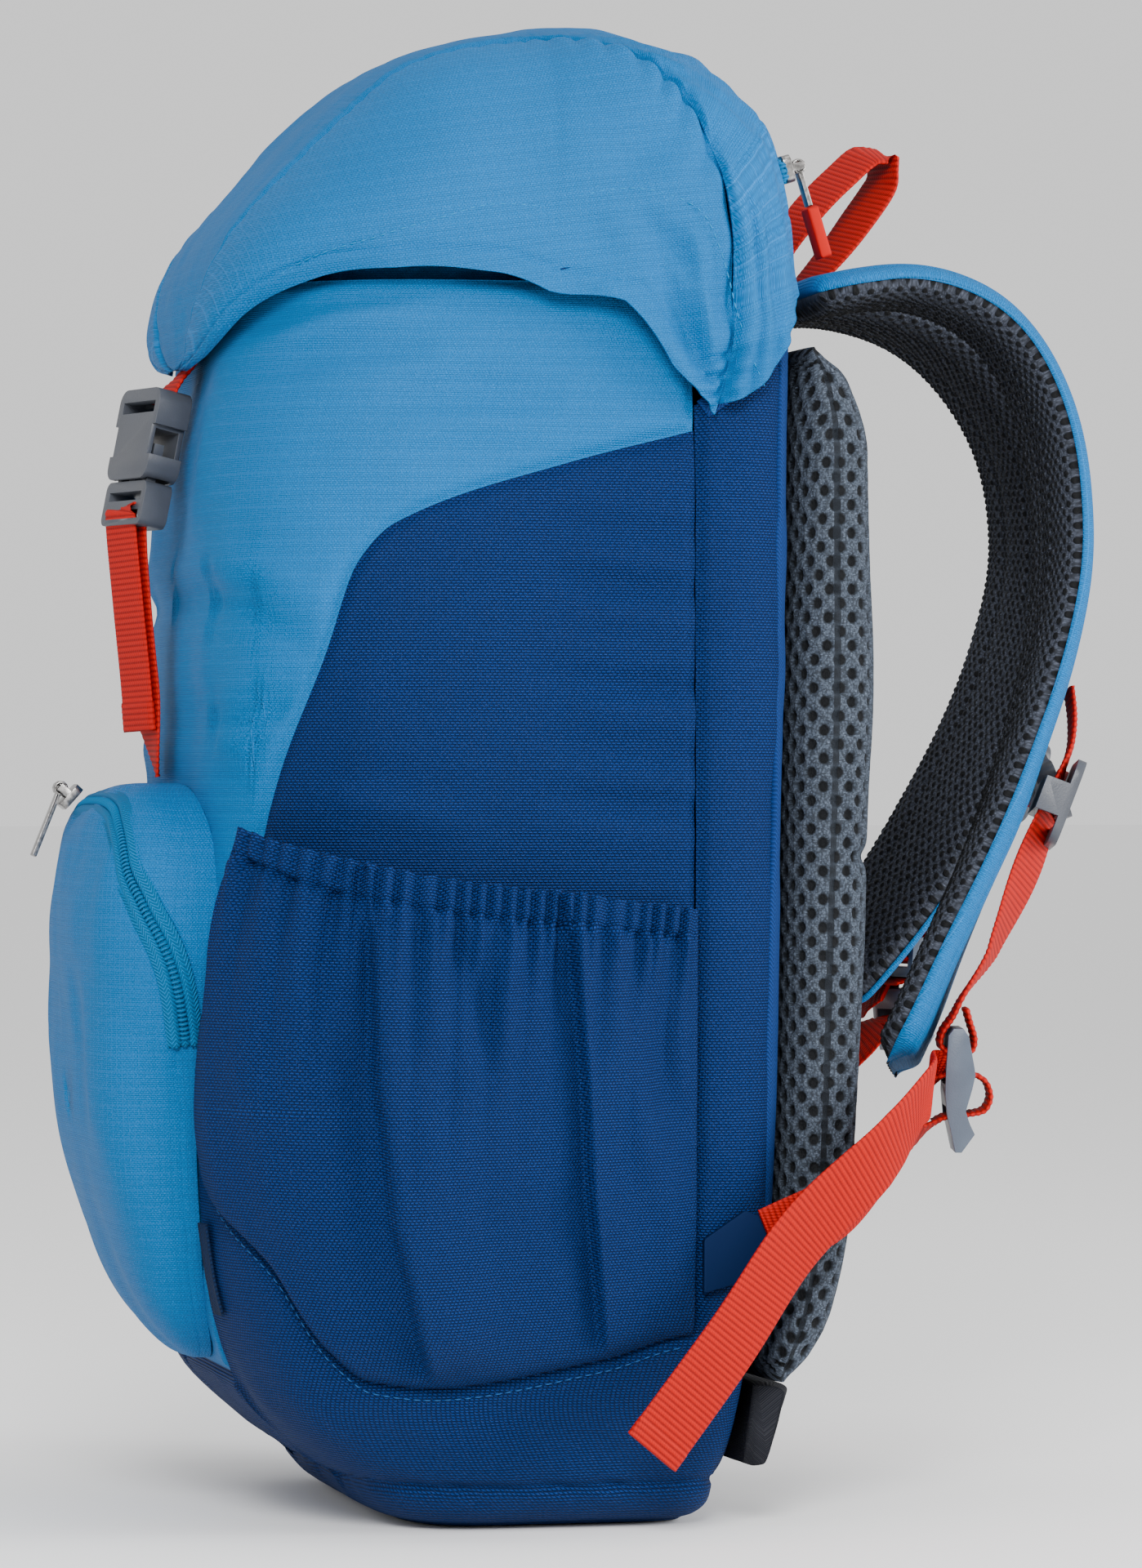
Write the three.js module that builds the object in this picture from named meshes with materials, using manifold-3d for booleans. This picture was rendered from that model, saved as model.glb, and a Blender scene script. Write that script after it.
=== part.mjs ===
// A child's lidded daypack of about 18 litres, standing on its base.
// Millimetres, +Z up. The wearer's back is towards +Y, the front pocket towards -Y,
// and +X is the side whose webbing tail hangs over the side pocket.
import * as THREE from "three";
import { mergeVertices } from "three/addons/utils/BufferGeometryUtils.js";
import Module from "manifold-3d";

const wasm = await Module();
wasm.setup();

// ---------------------------------------------------------------- driving dimensions
const FABRIC = 2.0; // thickness of a fabric wall with its lining
const GAP = 0.3; // clearance kept between neighbouring solids
const SEAM = 1.4; // clearance along a slanting seam between two panels
const WEBBING = 20; // width of the red webbing
const WEB_T = 1.6; // its thickness
const RIM_Z = 352; // height of the main compartment's rim
const FRAME_SHIFT_Y = -5.335; // moves the box's middle onto the origin
const LID_CENTRE = { y: -34, z: 318 }; // point that the lid's hoops radiate from
// Mouth of the front buckle, and its lean and turn in degrees.
const BUCKLE = { y: -128.6, z: 298, lean: 12, turn: 16 };

const CYAN = 0x1b93c9;
const NAVY = 0x0f4f94;
const RED = 0xd8371f;
const GREY = 0x4a515c;
const MESH_GREY = 0x5c6774;
const METAL = 0x8f9196;
const BLACK = 0x1c1e22;

// ---------------------------------------------------------------- small maths
const rad = THREE.MathUtils.degToRad;
const lerp = THREE.MathUtils.lerp;
const clamp = THREE.MathUtils.clamp;
const vec = (x, y, z) => new THREE.Vector3(x, y, z);

// A smooth function through [input, value] knots that never overshoots them.
function smooth(knots) {
  const last = knots.length - 1;
  const slope = knots.slice(1).map(([x, y], i) => (y - knots[i][1]) / (x - knots[i][0]));
  const tangent = knots.map((_, i) => {
    if (i === 0) return slope[0];
    if (i === last) return slope[last - 1];
    const [a, b] = [slope[i - 1], slope[i]];
    return a * b <= 0 ? 0 : (2 * a * b) / (a + b);
  });
  return (x) => {
    if (x <= knots[0][0]) return knots[0][1];
    if (x >= knots[last][0]) return knots[last][1];
    let i = 0;
    while (x > knots[i + 1][0]) i += 1;
    const h = knots[i + 1][0] - knots[i][0];
    const t = (x - knots[i][0]) / h;
    const [y0, y1] = [knots[i][1], knots[i + 1][1]];
    const rise = t * t * (3 - 2 * t);
    return lerp(y0, y1, rise) + h * t * (1 - t) * ((1 - t) * tangent[i] - t * tangent[i + 1]);
  };
}

// A smooth curve through [x, y, z] points, for t from 0 to 1.
function route(points) {
  const along = (axis) => smooth(points.map((p, i) => [i / (points.length - 1), p[axis]]));
  const [x, y, z] = [along(0), along(1), along(2)];
  return (t) => vec(x(t), y(t), z(t));
}

// ---------------------------------------------------------------- solids
function geometryFrom(points, faces) {
  const geometry = new THREE.BufferGeometry();
  geometry.setAttribute("position", new THREE.Float32BufferAttribute(points.flatMap((p) => p.toArray()), 3));
  geometry.setIndex(faces.flat());
  let volume = 0;
  for (const [a, b, c] of faces) {
    volume += points[a].dot(points[b].clone().cross(points[c]));
  }
  if (volume < 0) geometry.setIndex(faces.flatMap(([a, b, c]) => [a, c, b]));
  const flat = geometry.toNonIndexed();
  flat.computeVertexNormals();
  return flat;
}

// A closed solid through rings of equal length, fanned shut at both ends.
function loft(rings) {
  const count = rings[0].length;
  const points = rings.flat();
  const faces = [];
  for (let r = 0; r + 1 < rings.length; r += 1) {
    for (let i = 0; i < count; i += 1) {
      const [a, b] = [r * count + i, r * count + ((i + 1) % count)];
      faces.push([a, b, b + count], [a, b + count, a + count]);
    }
  }
  for (const [ring, turn] of [[0, 1], [rings.length - 1, -1]]) {
    const middle = points.length;
    points.push(rings[ring].reduce((sum, p) => sum.add(p), vec(0, 0, 0)).divideScalar(count));
    for (let i = 0; i < count; i += 1) {
      const [a, b] = [ring * count + i, ring * count + ((i + 1) % count)];
      faces.push(turn > 0 ? [b, a, middle] : [a, b, middle]);
    }
  }
  return geometryFrom(points, faces);
}

// A closed sheet between an outer and an inner grid of points, both [row][column].
function slab(outer, inner) {
  const [rows, columns] = [outer.length, outer[0].length];
  const points = [...outer.flat(), ...inner.flat()];
  const top = (r, c) => r * columns + c;
  const under = (r, c) => rows * columns + r * columns + c;
  const faces = [];
  const quad = (a, b, c, d) => faces.push([a, b, c], [a, c, d]);
  for (let r = 0; r + 1 < rows; r += 1) {
    for (let c = 0; c + 1 < columns; c += 1) {
      quad(top(r, c), top(r, c + 1), top(r + 1, c + 1), top(r + 1, c));
      quad(under(r + 1, c), under(r + 1, c + 1), under(r, c + 1), under(r, c));
    }
    quad(under(r, 0), top(r, 0), top(r + 1, 0), under(r + 1, 0));
    quad(top(r, columns - 1), under(r, columns - 1), under(r + 1, columns - 1), top(r + 1, columns - 1));
  }
  for (let c = 0; c + 1 < columns; c += 1) {
    quad(top(0, c), under(0, c), under(0, c + 1), top(0, c + 1));
    quad(under(rows - 1, c), top(rows - 1, c), top(rows - 1, c + 1), under(rows - 1, c + 1));
  }
  return geometryFrom(points, faces);
}

// A sheet lying `lift` above a surface(u, v), `thick` thick, over u and v from 0 to 1.
// surface returns { point, normal }; lift may be a number or a function of u and v.
function sheet(surface, columns, rows, thick, lift = 0) {
  const grid = (extra) =>
    Array.from({ length: rows + 1 }, (_, r) =>
      Array.from({ length: columns + 1 }, (_, c) => {
        const [u, v] = [c / columns, r / rows];
        const { point, normal } = surface(u, v);
        const height = (typeof lift === "function" ? lift(u, v) : lift) + extra;
        return point.clone().addScaledVector(normal, height);
      }),
    );
  return slab(grid(thick), grid(0));
}

// A ribbon of webbing along a route: `across` gives its width direction at t.
function ribbon(path, across, width, thick, steps, from = 0, to = 1) {
  const rings = [];
  for (let i = 0; i <= steps; i += 1) {
    const t = lerp(from, to, i / steps);
    const centre = path(t);
    const ahead = path(Math.min(t + 0.01, 1)).sub(path(Math.max(t - 0.01, 0))).normalize();
    const side = across(t).clone();
    side.addScaledVector(ahead, -side.dot(ahead)).normalize();
    const face = ahead.clone().cross(side);
    const w = (typeof width === "function" ? width(t) : width) / 2;
    const h = (typeof thick === "function" ? thick(t) : thick) / 2;
    const corner = (a, b) => centre.clone().addScaledVector(side, a * w).addScaledVector(face, b * h);
    rings.push([corner(-1, -1), corner(1, -1), corner(1, 1), corner(-1, 1)]);
  }
  return loft(rings);
}

// Manifold booleans on three.js geometries.
function solidOf(geometry) {
  const bare = geometry.clone();
  bare.deleteAttribute("normal");
  bare.deleteAttribute("uv");
  const merged = mergeVertices(bare, 1e-4);
  return new wasm.Manifold(
    new wasm.Mesh({
      numProp: 3,
      vertProperties: merged.attributes.position.array,
      triVerts: new Uint32Array(merged.index.array),
    }),
  );
}

function geometryOf(solid) {
  const mesh = solid.getMesh();
  const geometry = new THREE.BufferGeometry();
  geometry.setAttribute("position", new THREE.BufferAttribute(new Float32Array(mesh.vertProperties), 3));
  geometry.setIndex(new THREE.BufferAttribute(new Uint32Array(mesh.triVerts), 1));
  const flat = geometry.toNonIndexed();
  flat.computeVertexNormals();
  return flat;
}

const cut = (geometry, ...tools) =>
  geometryOf(tools.reduce((solid, tool) => solid.subtract(solidOf(tool)), solidOf(geometry)));
const join = (geometry, ...others) =>
  geometryOf(others.reduce((solid, other) => solid.add(solidOf(other)), solidOf(geometry)));
const box = (w, d, h, x = 0, y = 0, z = 0) => new THREE.BoxGeometry(w, d, h).translate(x, y, z);

// A rounded plate of outline w by h in the XZ plane, centred, d thick along Y.
function plate(w, h, d, corner, holes = []) {
  const rounded = (shape, cx, cz, hw, hh, r) => {
    shape.moveTo(cx - hw + r, cz - hh);
    shape.lineTo(cx + hw - r, cz - hh);
    shape.absarc(cx + hw - r, cz - hh + r, r, -Math.PI / 2, 0, false);
    shape.lineTo(cx + hw, cz + hh - r);
    shape.absarc(cx + hw - r, cz + hh - r, r, 0, Math.PI / 2, false);
    shape.lineTo(cx - hw + r, cz + hh);
    shape.absarc(cx - hw + r, cz + hh - r, r, Math.PI / 2, Math.PI, false);
    shape.lineTo(cx - hw, cz - hh + r);
    shape.absarc(cx - hw + r, cz - hh + r, r, Math.PI, Math.PI * 1.5, false);
    return shape;
  };
  const shape = rounded(new THREE.Shape(), 0, 0, w / 2, h / 2, corner);
  for (const [x, z, hw, hh] of holes) shape.holes.push(rounded(new THREE.Path(), x, z, hw, hh, 0.8));
  const made = new THREE.ExtrudeGeometry(shape, { depth: d, bevelEnabled: false, curveSegments: 3 });
  return made.translate(0, 0, -d / 2).rotateX(Math.PI / 2);
}

// ---------------------------------------------------------------- the main compartment's surface
const frontY = smooth([[0, -62], [6, -72], [13, -80], [20, -90], [40, -109], [75, -120], [117, -124],
  [160, -122.5], [200, -120], [255, -119], [298, -117.5], [324, -113], [RIM_Z, -107]]);
const backY = smooth([[0, 20], [7, 25], [40, 33], [88, 39.5], [200, 42], [345, 45]]);
const halfWidth = smooth([[0, 68], [6, 80], [13, 87], [20, 91], [40, 98], [75, 103], [120, 105], [200, 106],
  [290, 105], [310, 104], [335, 102], [RIM_Z, 98]]);
const frontPower = smooth([[120, 5], [200, 4]]);
const BACK_POWER = 8;
const SIDE_SEAM_Y = 12; // the seam that runs up each side, level with the rear of the side pocket
const SECTION_STEPS = 90;
const sections = new Map();

// One half of the horizontal section at height z, from the front centre to the rear centre.
function section(z) {
  const key = z.toFixed(3);
  if (sections.has(key)) return sections.get(key);
  const [front, back, half] = [frontY(z), backY(z), halfWidth(z)];
  const middle = lerp(front, back, 0.55);
  const points = [];
  for (let i = 0; i <= SECTION_STEPS; i += 1) {
    const angle = (Math.PI * i) / SECTION_STEPS;
    const ahead = Math.cos(angle) >= 0;
    const power = 2 / (ahead ? frontPower(z) : BACK_POWER);
    const depth = ahead ? middle - front : back - middle;
    const x = half * Math.abs(Math.sin(angle)) ** power;
    const y = middle - Math.sign(Math.cos(angle)) * depth * Math.abs(Math.cos(angle)) ** power;
    points.push([x, y]);
  }
  points[0][0] = 0;
  points[SECTION_STEPS][0] = 0;
  const length = [0];
  for (let i = 1; i < points.length; i += 1) {
    length.push(length[i - 1] + Math.hypot(points[i][0] - points[i - 1][0], points[i][1] - points[i - 1][1]));
  }
  const total = length[SECTION_STEPS];
  const made = { points, share: length.map((l) => l / total) };
  made.seam = shareWhere(made, 1, SIDE_SEAM_Y);
  made.edge = shareWhere(made, 1, back - 4);
  sections.set(key, made);
  return made;
}

// The share of the half section's length at which one coordinate first passes a value.
function shareWhere({ points, share }, axis, value) {
  const i = Math.max(1, points.findIndex((p) => p[axis] >= value));
  const [a, b] = [points[i - 1][axis], points[i][axis]];
  return lerp(share[i - 1], share[i], clamp((value - a) / (b - a), 0, 1));
}

// The section coordinate k: 0 front centre, 1 side seam, 2 rear edge, 3 rear centre, negative on -X.
const kAtX = (x, z) => shareWhere(section(z), 0, x) / section(z).seam;
const kAtY = (y, z) => shareWhere(section(z), 1, y) / section(z).seam;

function bodyPoint(k, z) {
  const { points, share, seam, edge } = section(z);
  const size = Math.abs(k);
  const stops = [0, seam, edge, 1];
  const span = Math.min(Math.floor(size), 2);
  const s = lerp(stops[span], stops[span + 1], size - span);
  let i = 1;
  while (i < share.length - 1 && share[i] < s) i += 1;
  const t = (s - share[i - 1]) / (share[i] - share[i - 1]);
  const x = lerp(points[i - 1][0], points[i][0], t);
  return vec(k < 0 ? -x : x, lerp(points[i - 1][1], points[i][1], t), z);
}

function bodySurface(k, z) {
  const step = 0.02;
  const around = bodyPoint(Math.min(k + step, 3), z).sub(bodyPoint(Math.max(k - step, -3), z));
  const up = bodyPoint(k, z + 1).sub(bodyPoint(k, z - 1));
  return { point: bodyPoint(k, z), normal: around.cross(up).normalize() };
}

// Seams on that surface, as heights along k.
const K_TIP = kAtX(64, 117); // lowest front corner of the side panel
const K_HEM = kAtX(86, 199); // front end of the side pocket's hem
const panelTop = smooth([[K_TIP, 117], [kAtX(82, 163), 163], [K_HEM, 199], [kAtY(-93, 247), 247],
  [kAtY(-84.5, 272), 272], [kAtY(-73.7, 283.4), 283.4], [kAtY(-24, 300.7), 300.7], [1, 310]]);
const baseTop = smooth([[kAtX(44, 45), 42], [K_TIP, 116.8], [kAtX(72, 100), 98], [kAtY(-105.9, 76), 76],
  [kAtY(-91.6, 52), 54], [kAtY(-79.7, 43.3), 44.5], [kAtY(-62, 42.3), 42.3], [kAtY(-14, 49.4), 49.4],
  [1, 56], [2, 50], [3, 46]]);
const hemTop = smooth([[K_HEM, 199], [kAtY(-75, 188), 188], [kAtY(-38.6, 182.5), 182.5], [1, 176.5]]);
const pocketTop = (k) => Math.min(panelTop(k), hemTop(k));
const frontBottom = (k) => (Math.abs(k) < K_TIP ? baseTop(Math.abs(k)) : panelTop(Math.abs(k)));

const K_GAP = 0.003; // half the clearance between neighbouring panels, in units of k
const SIDE_FRONT = K_TIP + 0.03; // front end of the side panel
const HALF_COLUMNS = [0, 0.1, 0.2, K_TIP, SIDE_FRONT, 0.38, 0.43, 0.48, 0.53, 0.58, 0.65, 0.75, 0.85, 1 - K_GAP];
const REAR_COLUMNS = [1 + K_GAP, 1.3, 1.65, 2 - K_GAP];
const BACK_COLUMNS = [2 + K_GAP, 2.08, 2.2, 2.4, 2.7];

// A panel of the compartment's wall over a list of k values, between two seams.
function wallPanel(columns, bottom, top, rows) {
  const surface = (u, v) => {
    const k = columns[Math.round(u * (columns.length - 1))];
    return bodySurface(k, lerp(bottom(Math.abs(k)) + SEAM / 2, top(Math.abs(k)) - SEAM / 2, v));
  };
  return sheet(surface, columns.length - 1, rows, FABRIC, -FABRIC);
}

const mirror = (columns) => columns.map((k) => -k).reverse();
const bothSides = (columns) => [...mirror(columns.filter((k) => k > 0)), ...columns];
const onSide = (columns, side) => (side > 0 ? columns : mirror(columns));
const gussetTop = smooth([[1, 309], [2, 340]]);
const rim = (k) => (k > 1 ? gussetTop(k) : RIM_Z);

const frontPanel = () => wallPanel(bothSides(HALF_COLUMNS), frontBottom, rim, 8);
const sidePanel = (side) =>
  wallPanel(onSide(HALF_COLUMNS.filter((k) => k >= SIDE_FRONT), side), baseTop, panelTop, 7);
const rearGusset = (side) => wallPanel(onSide(REAR_COLUMNS, side), baseTop, gussetTop, 10);

function backPanel(lift, inset, bottom, top, thick) {
  const surface = (u, v) => {
    const k = lerp(2 + inset, 4 - inset, u);
    return bodySurface(k > 3 ? k - 6 : k, lerp(bottom, top, v));
  };
  return sheet(surface, 8, 10, thick, lift);
}

// The base is a tray: its bottom is flat on the ground and its wall rises to the lower seams.
function basePanel() {
  const columns = bothSides([...HALF_COLUMNS, ...REAR_COLUMNS, ...BACK_COLUMNS, 3]).slice(1);
  const ring = (height, inset) =>
    columns.map((k) => {
      const z = lerp(0, baseTop(Math.abs(k)) - SEAM / 2, height);
      const { point, normal } = bodySurface(k, Math.max(z, 0.01));
      return point.addScaledVector(vec(normal.x, normal.y, 0).normalize(), -inset).setZ(z);
    });
  const floor = (share, z) => ring(0, 0).map((p) => vec(p.x * share, p.y * share - 20 * (1 - share), z));
  const wall = [0, 0.04, 0.12, 0.3, 0.62, 1];
  return loft([
    floor(0.3, 0),
    ...wall.map((h) => ring(h, 0)),
    ...wall.slice(1).reverse().map((h) => ring(h, FABRIC)),
    floor(0.86, FABRIC + 0.6),
    floor(0.3, FABRIC + 0.6),
  ]);
}

// The collar that closes over the load inside the lid, with its drawcord tunnel at the top.
function collarRing(height) {
  const spread = smooth([[0, 1], [12, 0.93], [24, 0.84]])(height);
  const middle = vec(0, -32, 0);
  return Array.from({ length: 28 }, (_, i) => {
    const p = bodyPoint(-3 + (6 * i) / 28, RIM_Z - 3);
    const inset = vec(p.x, p.y, 0).sub(middle).multiplyScalar(spread * 0.955).add(middle);
    return inset.setZ(RIM_Z - 10 + height);
  });
}

function ringWall(rings, wall) {
  const shrink = (ring) => {
    const middle = ring.reduce((sum, p) => sum.add(p), vec(0, 0, 0)).divideScalar(ring.length);
    return ring.map((p) => p.clone().sub(middle).multiplyScalar(1 - wall / 90).add(middle));
  };
  const count = rings[0].length;
  const all = [...rings, ...rings.map(shrink).reverse()];
  const points = all.flat();
  const faces = [];
  all.forEach((_, r) => {
    const next = (r + 1) % all.length;
    for (let i = 0; i < count; i += 1) {
      const j = (i + 1) % count;
      faces.push([r * count + i, r * count + j, next * count + j], [r * count + i, next * count + j, next * count + i]);
    }
  });
  return geometryFrom(points, faces);
}

const collar = () => ringWall([0, 12, 22].map(collarRing), FABRIC);
const collarHem = () => ringWall([22.4, 28].map(collarRing), 3.2);

// ---------------------------------------------------------------- side pockets
const POCKET_BULGE = 21;
const POCKET_CLEARANCE = 0.8;

function pocketLift(u, v) {
  const across = Math.max(Math.sin(Math.PI * u), 0) ** 0.75;
  const up = Math.max(Math.sin(Math.PI * 0.8 * v), 0) ** 0.75;
  return POCKET_CLEARANCE + POCKET_BULGE * across * up;
}

function pocketSurface(side) {
  return (u, v) => {
    const k = lerp(K_TIP + 0.04, 1 - 2 * K_GAP, u);
    return bodySurface(side * k, lerp(baseTop(k) + 1, pocketTop(k) - 1, v));
  };
}

const HEM_SHARE = 0.93; // the elastic hem takes the rest of the pocket's height
const sidePocket = (side) => {
  const whole = pocketSurface(side);
  return sheet((u, v) => whole(u, v * HEM_SHARE), 12, 8, FABRIC, (u, v) => pocketLift(u, v * HEM_SHARE));
};

function pocketHem(side) {
  const whole = pocketSurface(side);
  const rise = (v) => lerp(HEM_SHARE + 0.004, 1, v);
  const place = (u) => lerp(0.2, 1, u);
  const lift = (u, v) => pocketLift(place(u), rise(v)) - 0.4 * Math.sin(Math.PI * u);
  return sheet((u, v) => whole(place(u), rise(v)), 12, 1, FABRIC + 1.2, lift);
}

// ---------------------------------------------------------------- front pocket
const POCKET_MID_Z = 120;
const pocketDepth = smooth([[40, 12], [60, 17], [82, 20], [141, 26], [190, 32], [215, 32]]);
const pocketHalf = smooth([[40, 46], [75, 55], [117, 62], [140, 69], [163, 75], [215, 78]]);
const POCKET_TOP = 211;
const POCKET_FOOT = 44;
const POCKET_POWER = 3.4;
const RIM_CLEARANCE = 1.2; // from the front panel to the back of the pocket's rim

// The pocket's outline on the front panel at angle a: 0 towards +X, 90 degrees up.
function pocketOutline(a) {
  const power = 2 / (Math.sin(a) > 0 ? 3.2 : 3);
  const rise = Math.sin(a) > 0 ? POCKET_TOP - POCKET_MID_Z : POCKET_MID_Z - POCKET_FOOT;
  const z = POCKET_MID_Z + Math.sign(Math.sin(a)) * rise * Math.abs(Math.sin(a)) ** power;
  const x = Math.sign(Math.cos(a)) * pocketHalf(z) * Math.abs(Math.cos(a)) ** power;
  return { x, z };
}

// A point of the bulging pocket: e is 0 at the seam and 90 degrees at the middle of its face.
function pocketFace(a, e, inset = 0) {
  const { x, z } = pocketOutline(a);
  const share = Math.max(Math.cos(e), 0) ** (2 / POCKET_POWER);
  const px = x * share * (1 - inset / 90);
  const pz = POCKET_MID_Z + (z - POCKET_MID_Z) * share * (1 - inset / 90);
  const out = Math.max(Math.sin(e), 0) ** (2 / POCKET_POWER) * (pocketDepth(pz) - inset);
  const skin = bodyPoint(kAtX(Math.abs(px), pz) * Math.sign(px || 1), pz);
  return vec(px, skin.y - RIM_CLEARANCE - out, pz);
}

function frontPocket() {
  const around = 32;
  const ring = (e, inset) =>
    Array.from({ length: around }, (_, i) => pocketFace((2 * Math.PI * i) / around, rad(e), inset));
  const steps = [0, 6, 18, 34, 52, 72, 84];
  return loft([
    ...[...steps].reverse().map((e) => ring(e, 0)),
    ...steps.map((e) => ring(e, FABRIC)),
  ]);
}

// The zip follows the pocket's upper rim from one side to the other.
// How far up the pocket's rim the zip lies, in degrees of e, against the angle round the rim.
const zipRise = smooth([[1, 0.8], [8, 6], [18, 14], [30, 24], [45, 30], [60, 29], [75, 27], [90, 27]]);
const zipE = (degrees) => zipRise(90 - Math.abs(90 - degrees));
const FRONT_ZIP_AT = 104; // rim angle at which its slider rests, in degrees

function pocketSkin(a, e) {
  const around = pocketFace(a + 0.02, e).sub(pocketFace(a - 0.02, e));
  const out = pocketFace(a, e + 0.02).sub(pocketFace(a, e - 0.02));
  return { point: pocketFace(a, e), normal: around.cross(out).normalize() };
}

function pocketZip(width, thick, lift, from, to, columns) {
  const surface = (u, v) => {
    const degrees = lerp(from, to, u);
    return pocketSkin(rad(degrees), rad(zipE(degrees) + lerp(-width, width, v)));
  };
  return sheet(surface, columns, 1, thick, lift);
}

// The same surface point with its normal turned square to X, the way that a slider travels.
function flatAcross({ point, normal }) {
  return { point, normal: vec(0, normal.y, normal.z).normalize() };
}

// ---------------------------------------------------------------- lid
const lidPower = smooth([[95, 3], [131, 5.5]]); // squareness of the hoops
const LID_ROWS = [9, 11, 14, 18, 24, 32, 40, 48, 57, 66, 76, 86, 96, 106, 115, 123, 130.6];
const lidTop = smooth([[8.8, 85.5], [20, 90], [32.7, 92.6], [46.9, 93.3], [61.6, 98.3], [73.6, 105.5], [89.8, 109.9],
  [99, 113.2], [110, 115.4], [118, 115.2], [126.4, 113.2], [131.7, 111.2], [138.5, 105.5], [146.6, 98.2],
  [155.5, 91.7], [165, 89]]);
const lidEdge = smooth([[8.8, 84], [17, 81], [30, 68], [44.8, 51], [69, 36.6], [112, 26.7], [163.5, 32], [189, 49.6]]);
const lidEdgeX = smooth([[8.8, 11], [11, 40], [17, 66], [30, 91], [44.8, 103], [69, 107.5], [112, 109], [189, 109]]);
// Share of each hoop's height at which the side panel meets the top panel, or the rear panel.
const lidSeam = smooth([[8.8, 0.97], [17, 0.97], [30, 0.955], [90, 0.94], [104, 0.91], [117, 0.81], [126, 0.7],
  [132, 0.65], [147, 0.56], [165, 0.45], [189, 0.02]]);
const LID_FOLD = 132; // hoop angles, in degrees from the front
const LID_REAR = 157;
const LID_CORNER = 184;

function lidPoint(degrees, turn) {
  const hoop = lidEdge(degrees);
  const power = 2 / lidPower(degrees);
  const share = Math.abs(Math.sin(turn)) ** power;
  const r = hoop + (Math.max(lidTop(degrees), hoop + 1) - hoop) * share;
  const x = Math.sign(Math.cos(turn)) * lidEdgeX(degrees) * Math.abs(Math.cos(turn)) ** power;
  const a = rad(degrees);
  return vec(x, LID_CENTRE.y - r * Math.cos(a), LID_CENTRE.z + r * Math.sin(a));
}

function lidSurface(degrees, turn) {
  const along = lidPoint(degrees + 0.5, turn).sub(lidPoint(degrees - 0.5, turn));
  const across = lidPoint(degrees, turn + 0.01).sub(lidPoint(degrees, turn - 0.01));
  return { point: lidPoint(degrees, turn), normal: along.cross(across).normalize() };
}

const seamTurn = (degrees) => Math.asin(lidSeam(degrees) ** (lidPower(degrees) / 2));
const SEAM_TURN = 0.008; // half the clearance along the lid's seams, as a turn round its hoops

function lidTopPanel() {
  const surface = (u, v) => {
    const degrees = LID_ROWS[Math.round(v * (LID_ROWS.length - 1))];
    const edge = seamTurn(degrees) + SEAM_TURN;
    return lidSurface(degrees, lerp(edge, Math.PI - edge, u));
  };
  return sheet(surface, 10, LID_ROWS.length - 1, FABRIC, -FABRIC);
}

function lidSidePanel(side) {
  const surface = (u, v) => {
    const degrees = LID_ROWS[Math.round(v * (LID_ROWS.length - 1))];
    const turn = lerp(0.004, seamTurn(degrees) - SEAM_TURN, u ** 1.6);
    return lidSurface(degrees, side > 0 ? turn : Math.PI - turn);
  };
  return sheet(surface, 6, LID_ROWS.length - 1, FABRIC, -FABRIC);
}

// Behind the fold the lid is sewn to the gussets and the back, so this band stays still.
function lidRearBand() {
  const surface = (u, v) => {
    const turn = lerp(0.004, Math.PI - 0.004, u);
    const reach = Math.abs(Math.cos(turn)) ** 2;
    return lidSurface(lerp(LID_FOLD, lerp(LID_REAR, LID_CORNER, reach), v), turn);
  };
  return sheet(surface, 24, 5, FABRIC, -FABRIC);
}

// The lid pocket's floor, hung inside the lid.
function lidLining() {
  const surface = (u, v) => lidSurface(lerp(50, 118, v), lerp(rad(38), rad(142), u));
  return sheet(surface, 8, 8, 1.5, -16);
}

const LID_ZIP_AT = 139; // hoop that the lid pocket's zip follows

function lidZip(width, thick, lift, reach) {
  const surface = (u, v) => {
    const degrees = LID_ZIP_AT + lerp(-width, width, v);
    const side = Math.acos((reach / lidEdgeX(LID_ZIP_AT)) ** (lidPower(LID_ZIP_AT) / 2));
    return lidSurface(degrees, lerp(side, Math.PI - side, u));
  };
  return sheet(surface, 14, 1, thick, lift);
}

// ---------------------------------------------------------------- front buckle and strap
// Both halves are drawn round the mouth of the socket: +Z into the socket, -Y away from the bag.
const SOCKET = { width: 27, length: 27, depth: 10.5, wall: 1.5 };
const PRONG = { length: 11, thick: 3, y: -1.4 };

function buckleFemale() {
  const { width, length, depth, wall } = SOCKET;
  const shell = plate(width, length, depth, 4).translate(0, 0, length / 2 + 0.4);
  const cavity = box(width - 2 * wall - 1, depth - 2 * wall, 16, 0, 0, 7.4);
  const windows = [-1, 1].map((s) => box(5, depth + 2, 9, (s * (width + 1)) / 2, 0, 12));
  const waist = [-1, 1].map((s) =>
    new THREE.CylinderGeometry(5, 5, depth + 2, 12).translate((s * (width + 6)) / 2, 0, 12));
  const slot = box(WEBBING + 1.5, 3.4, 6, 0, 0, length - 3);
  const bar = box(WEBBING + 1.5, depth + 2, 3.4, 0, 0, length - 5.2);
  return cut(shell, cavity, ...windows, ...waist, slot, bar);
}

function buckleMale() {
  const { width, depth } = SOCKET;
  const block = plate(width, 13, depth - 2, 2.5).translate(0, 0, -6.6);
  const slots = [-4.6, -10].map((z) => box(WEBBING + 1.5, depth + 2, 2.6, 0, 0, z));
  const arms = [-1, 1].map((s) => box(3, PRONG.thick, PRONG.length + 2, s * 8.2, PRONG.y, PRONG.length / 2 - 1));
  const tips = [-1, 1].map((s) => box(4.5, PRONG.thick, 4.5, s * 8.8, PRONG.y, PRONG.length - 2.2));
  const guide = box(4, PRONG.thick, PRONG.length + 1, 0, PRONG.y, PRONG.length / 2 - 1.5);
  return join(cut(block, ...slots), ...arms, ...tips, guide);
}

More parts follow.
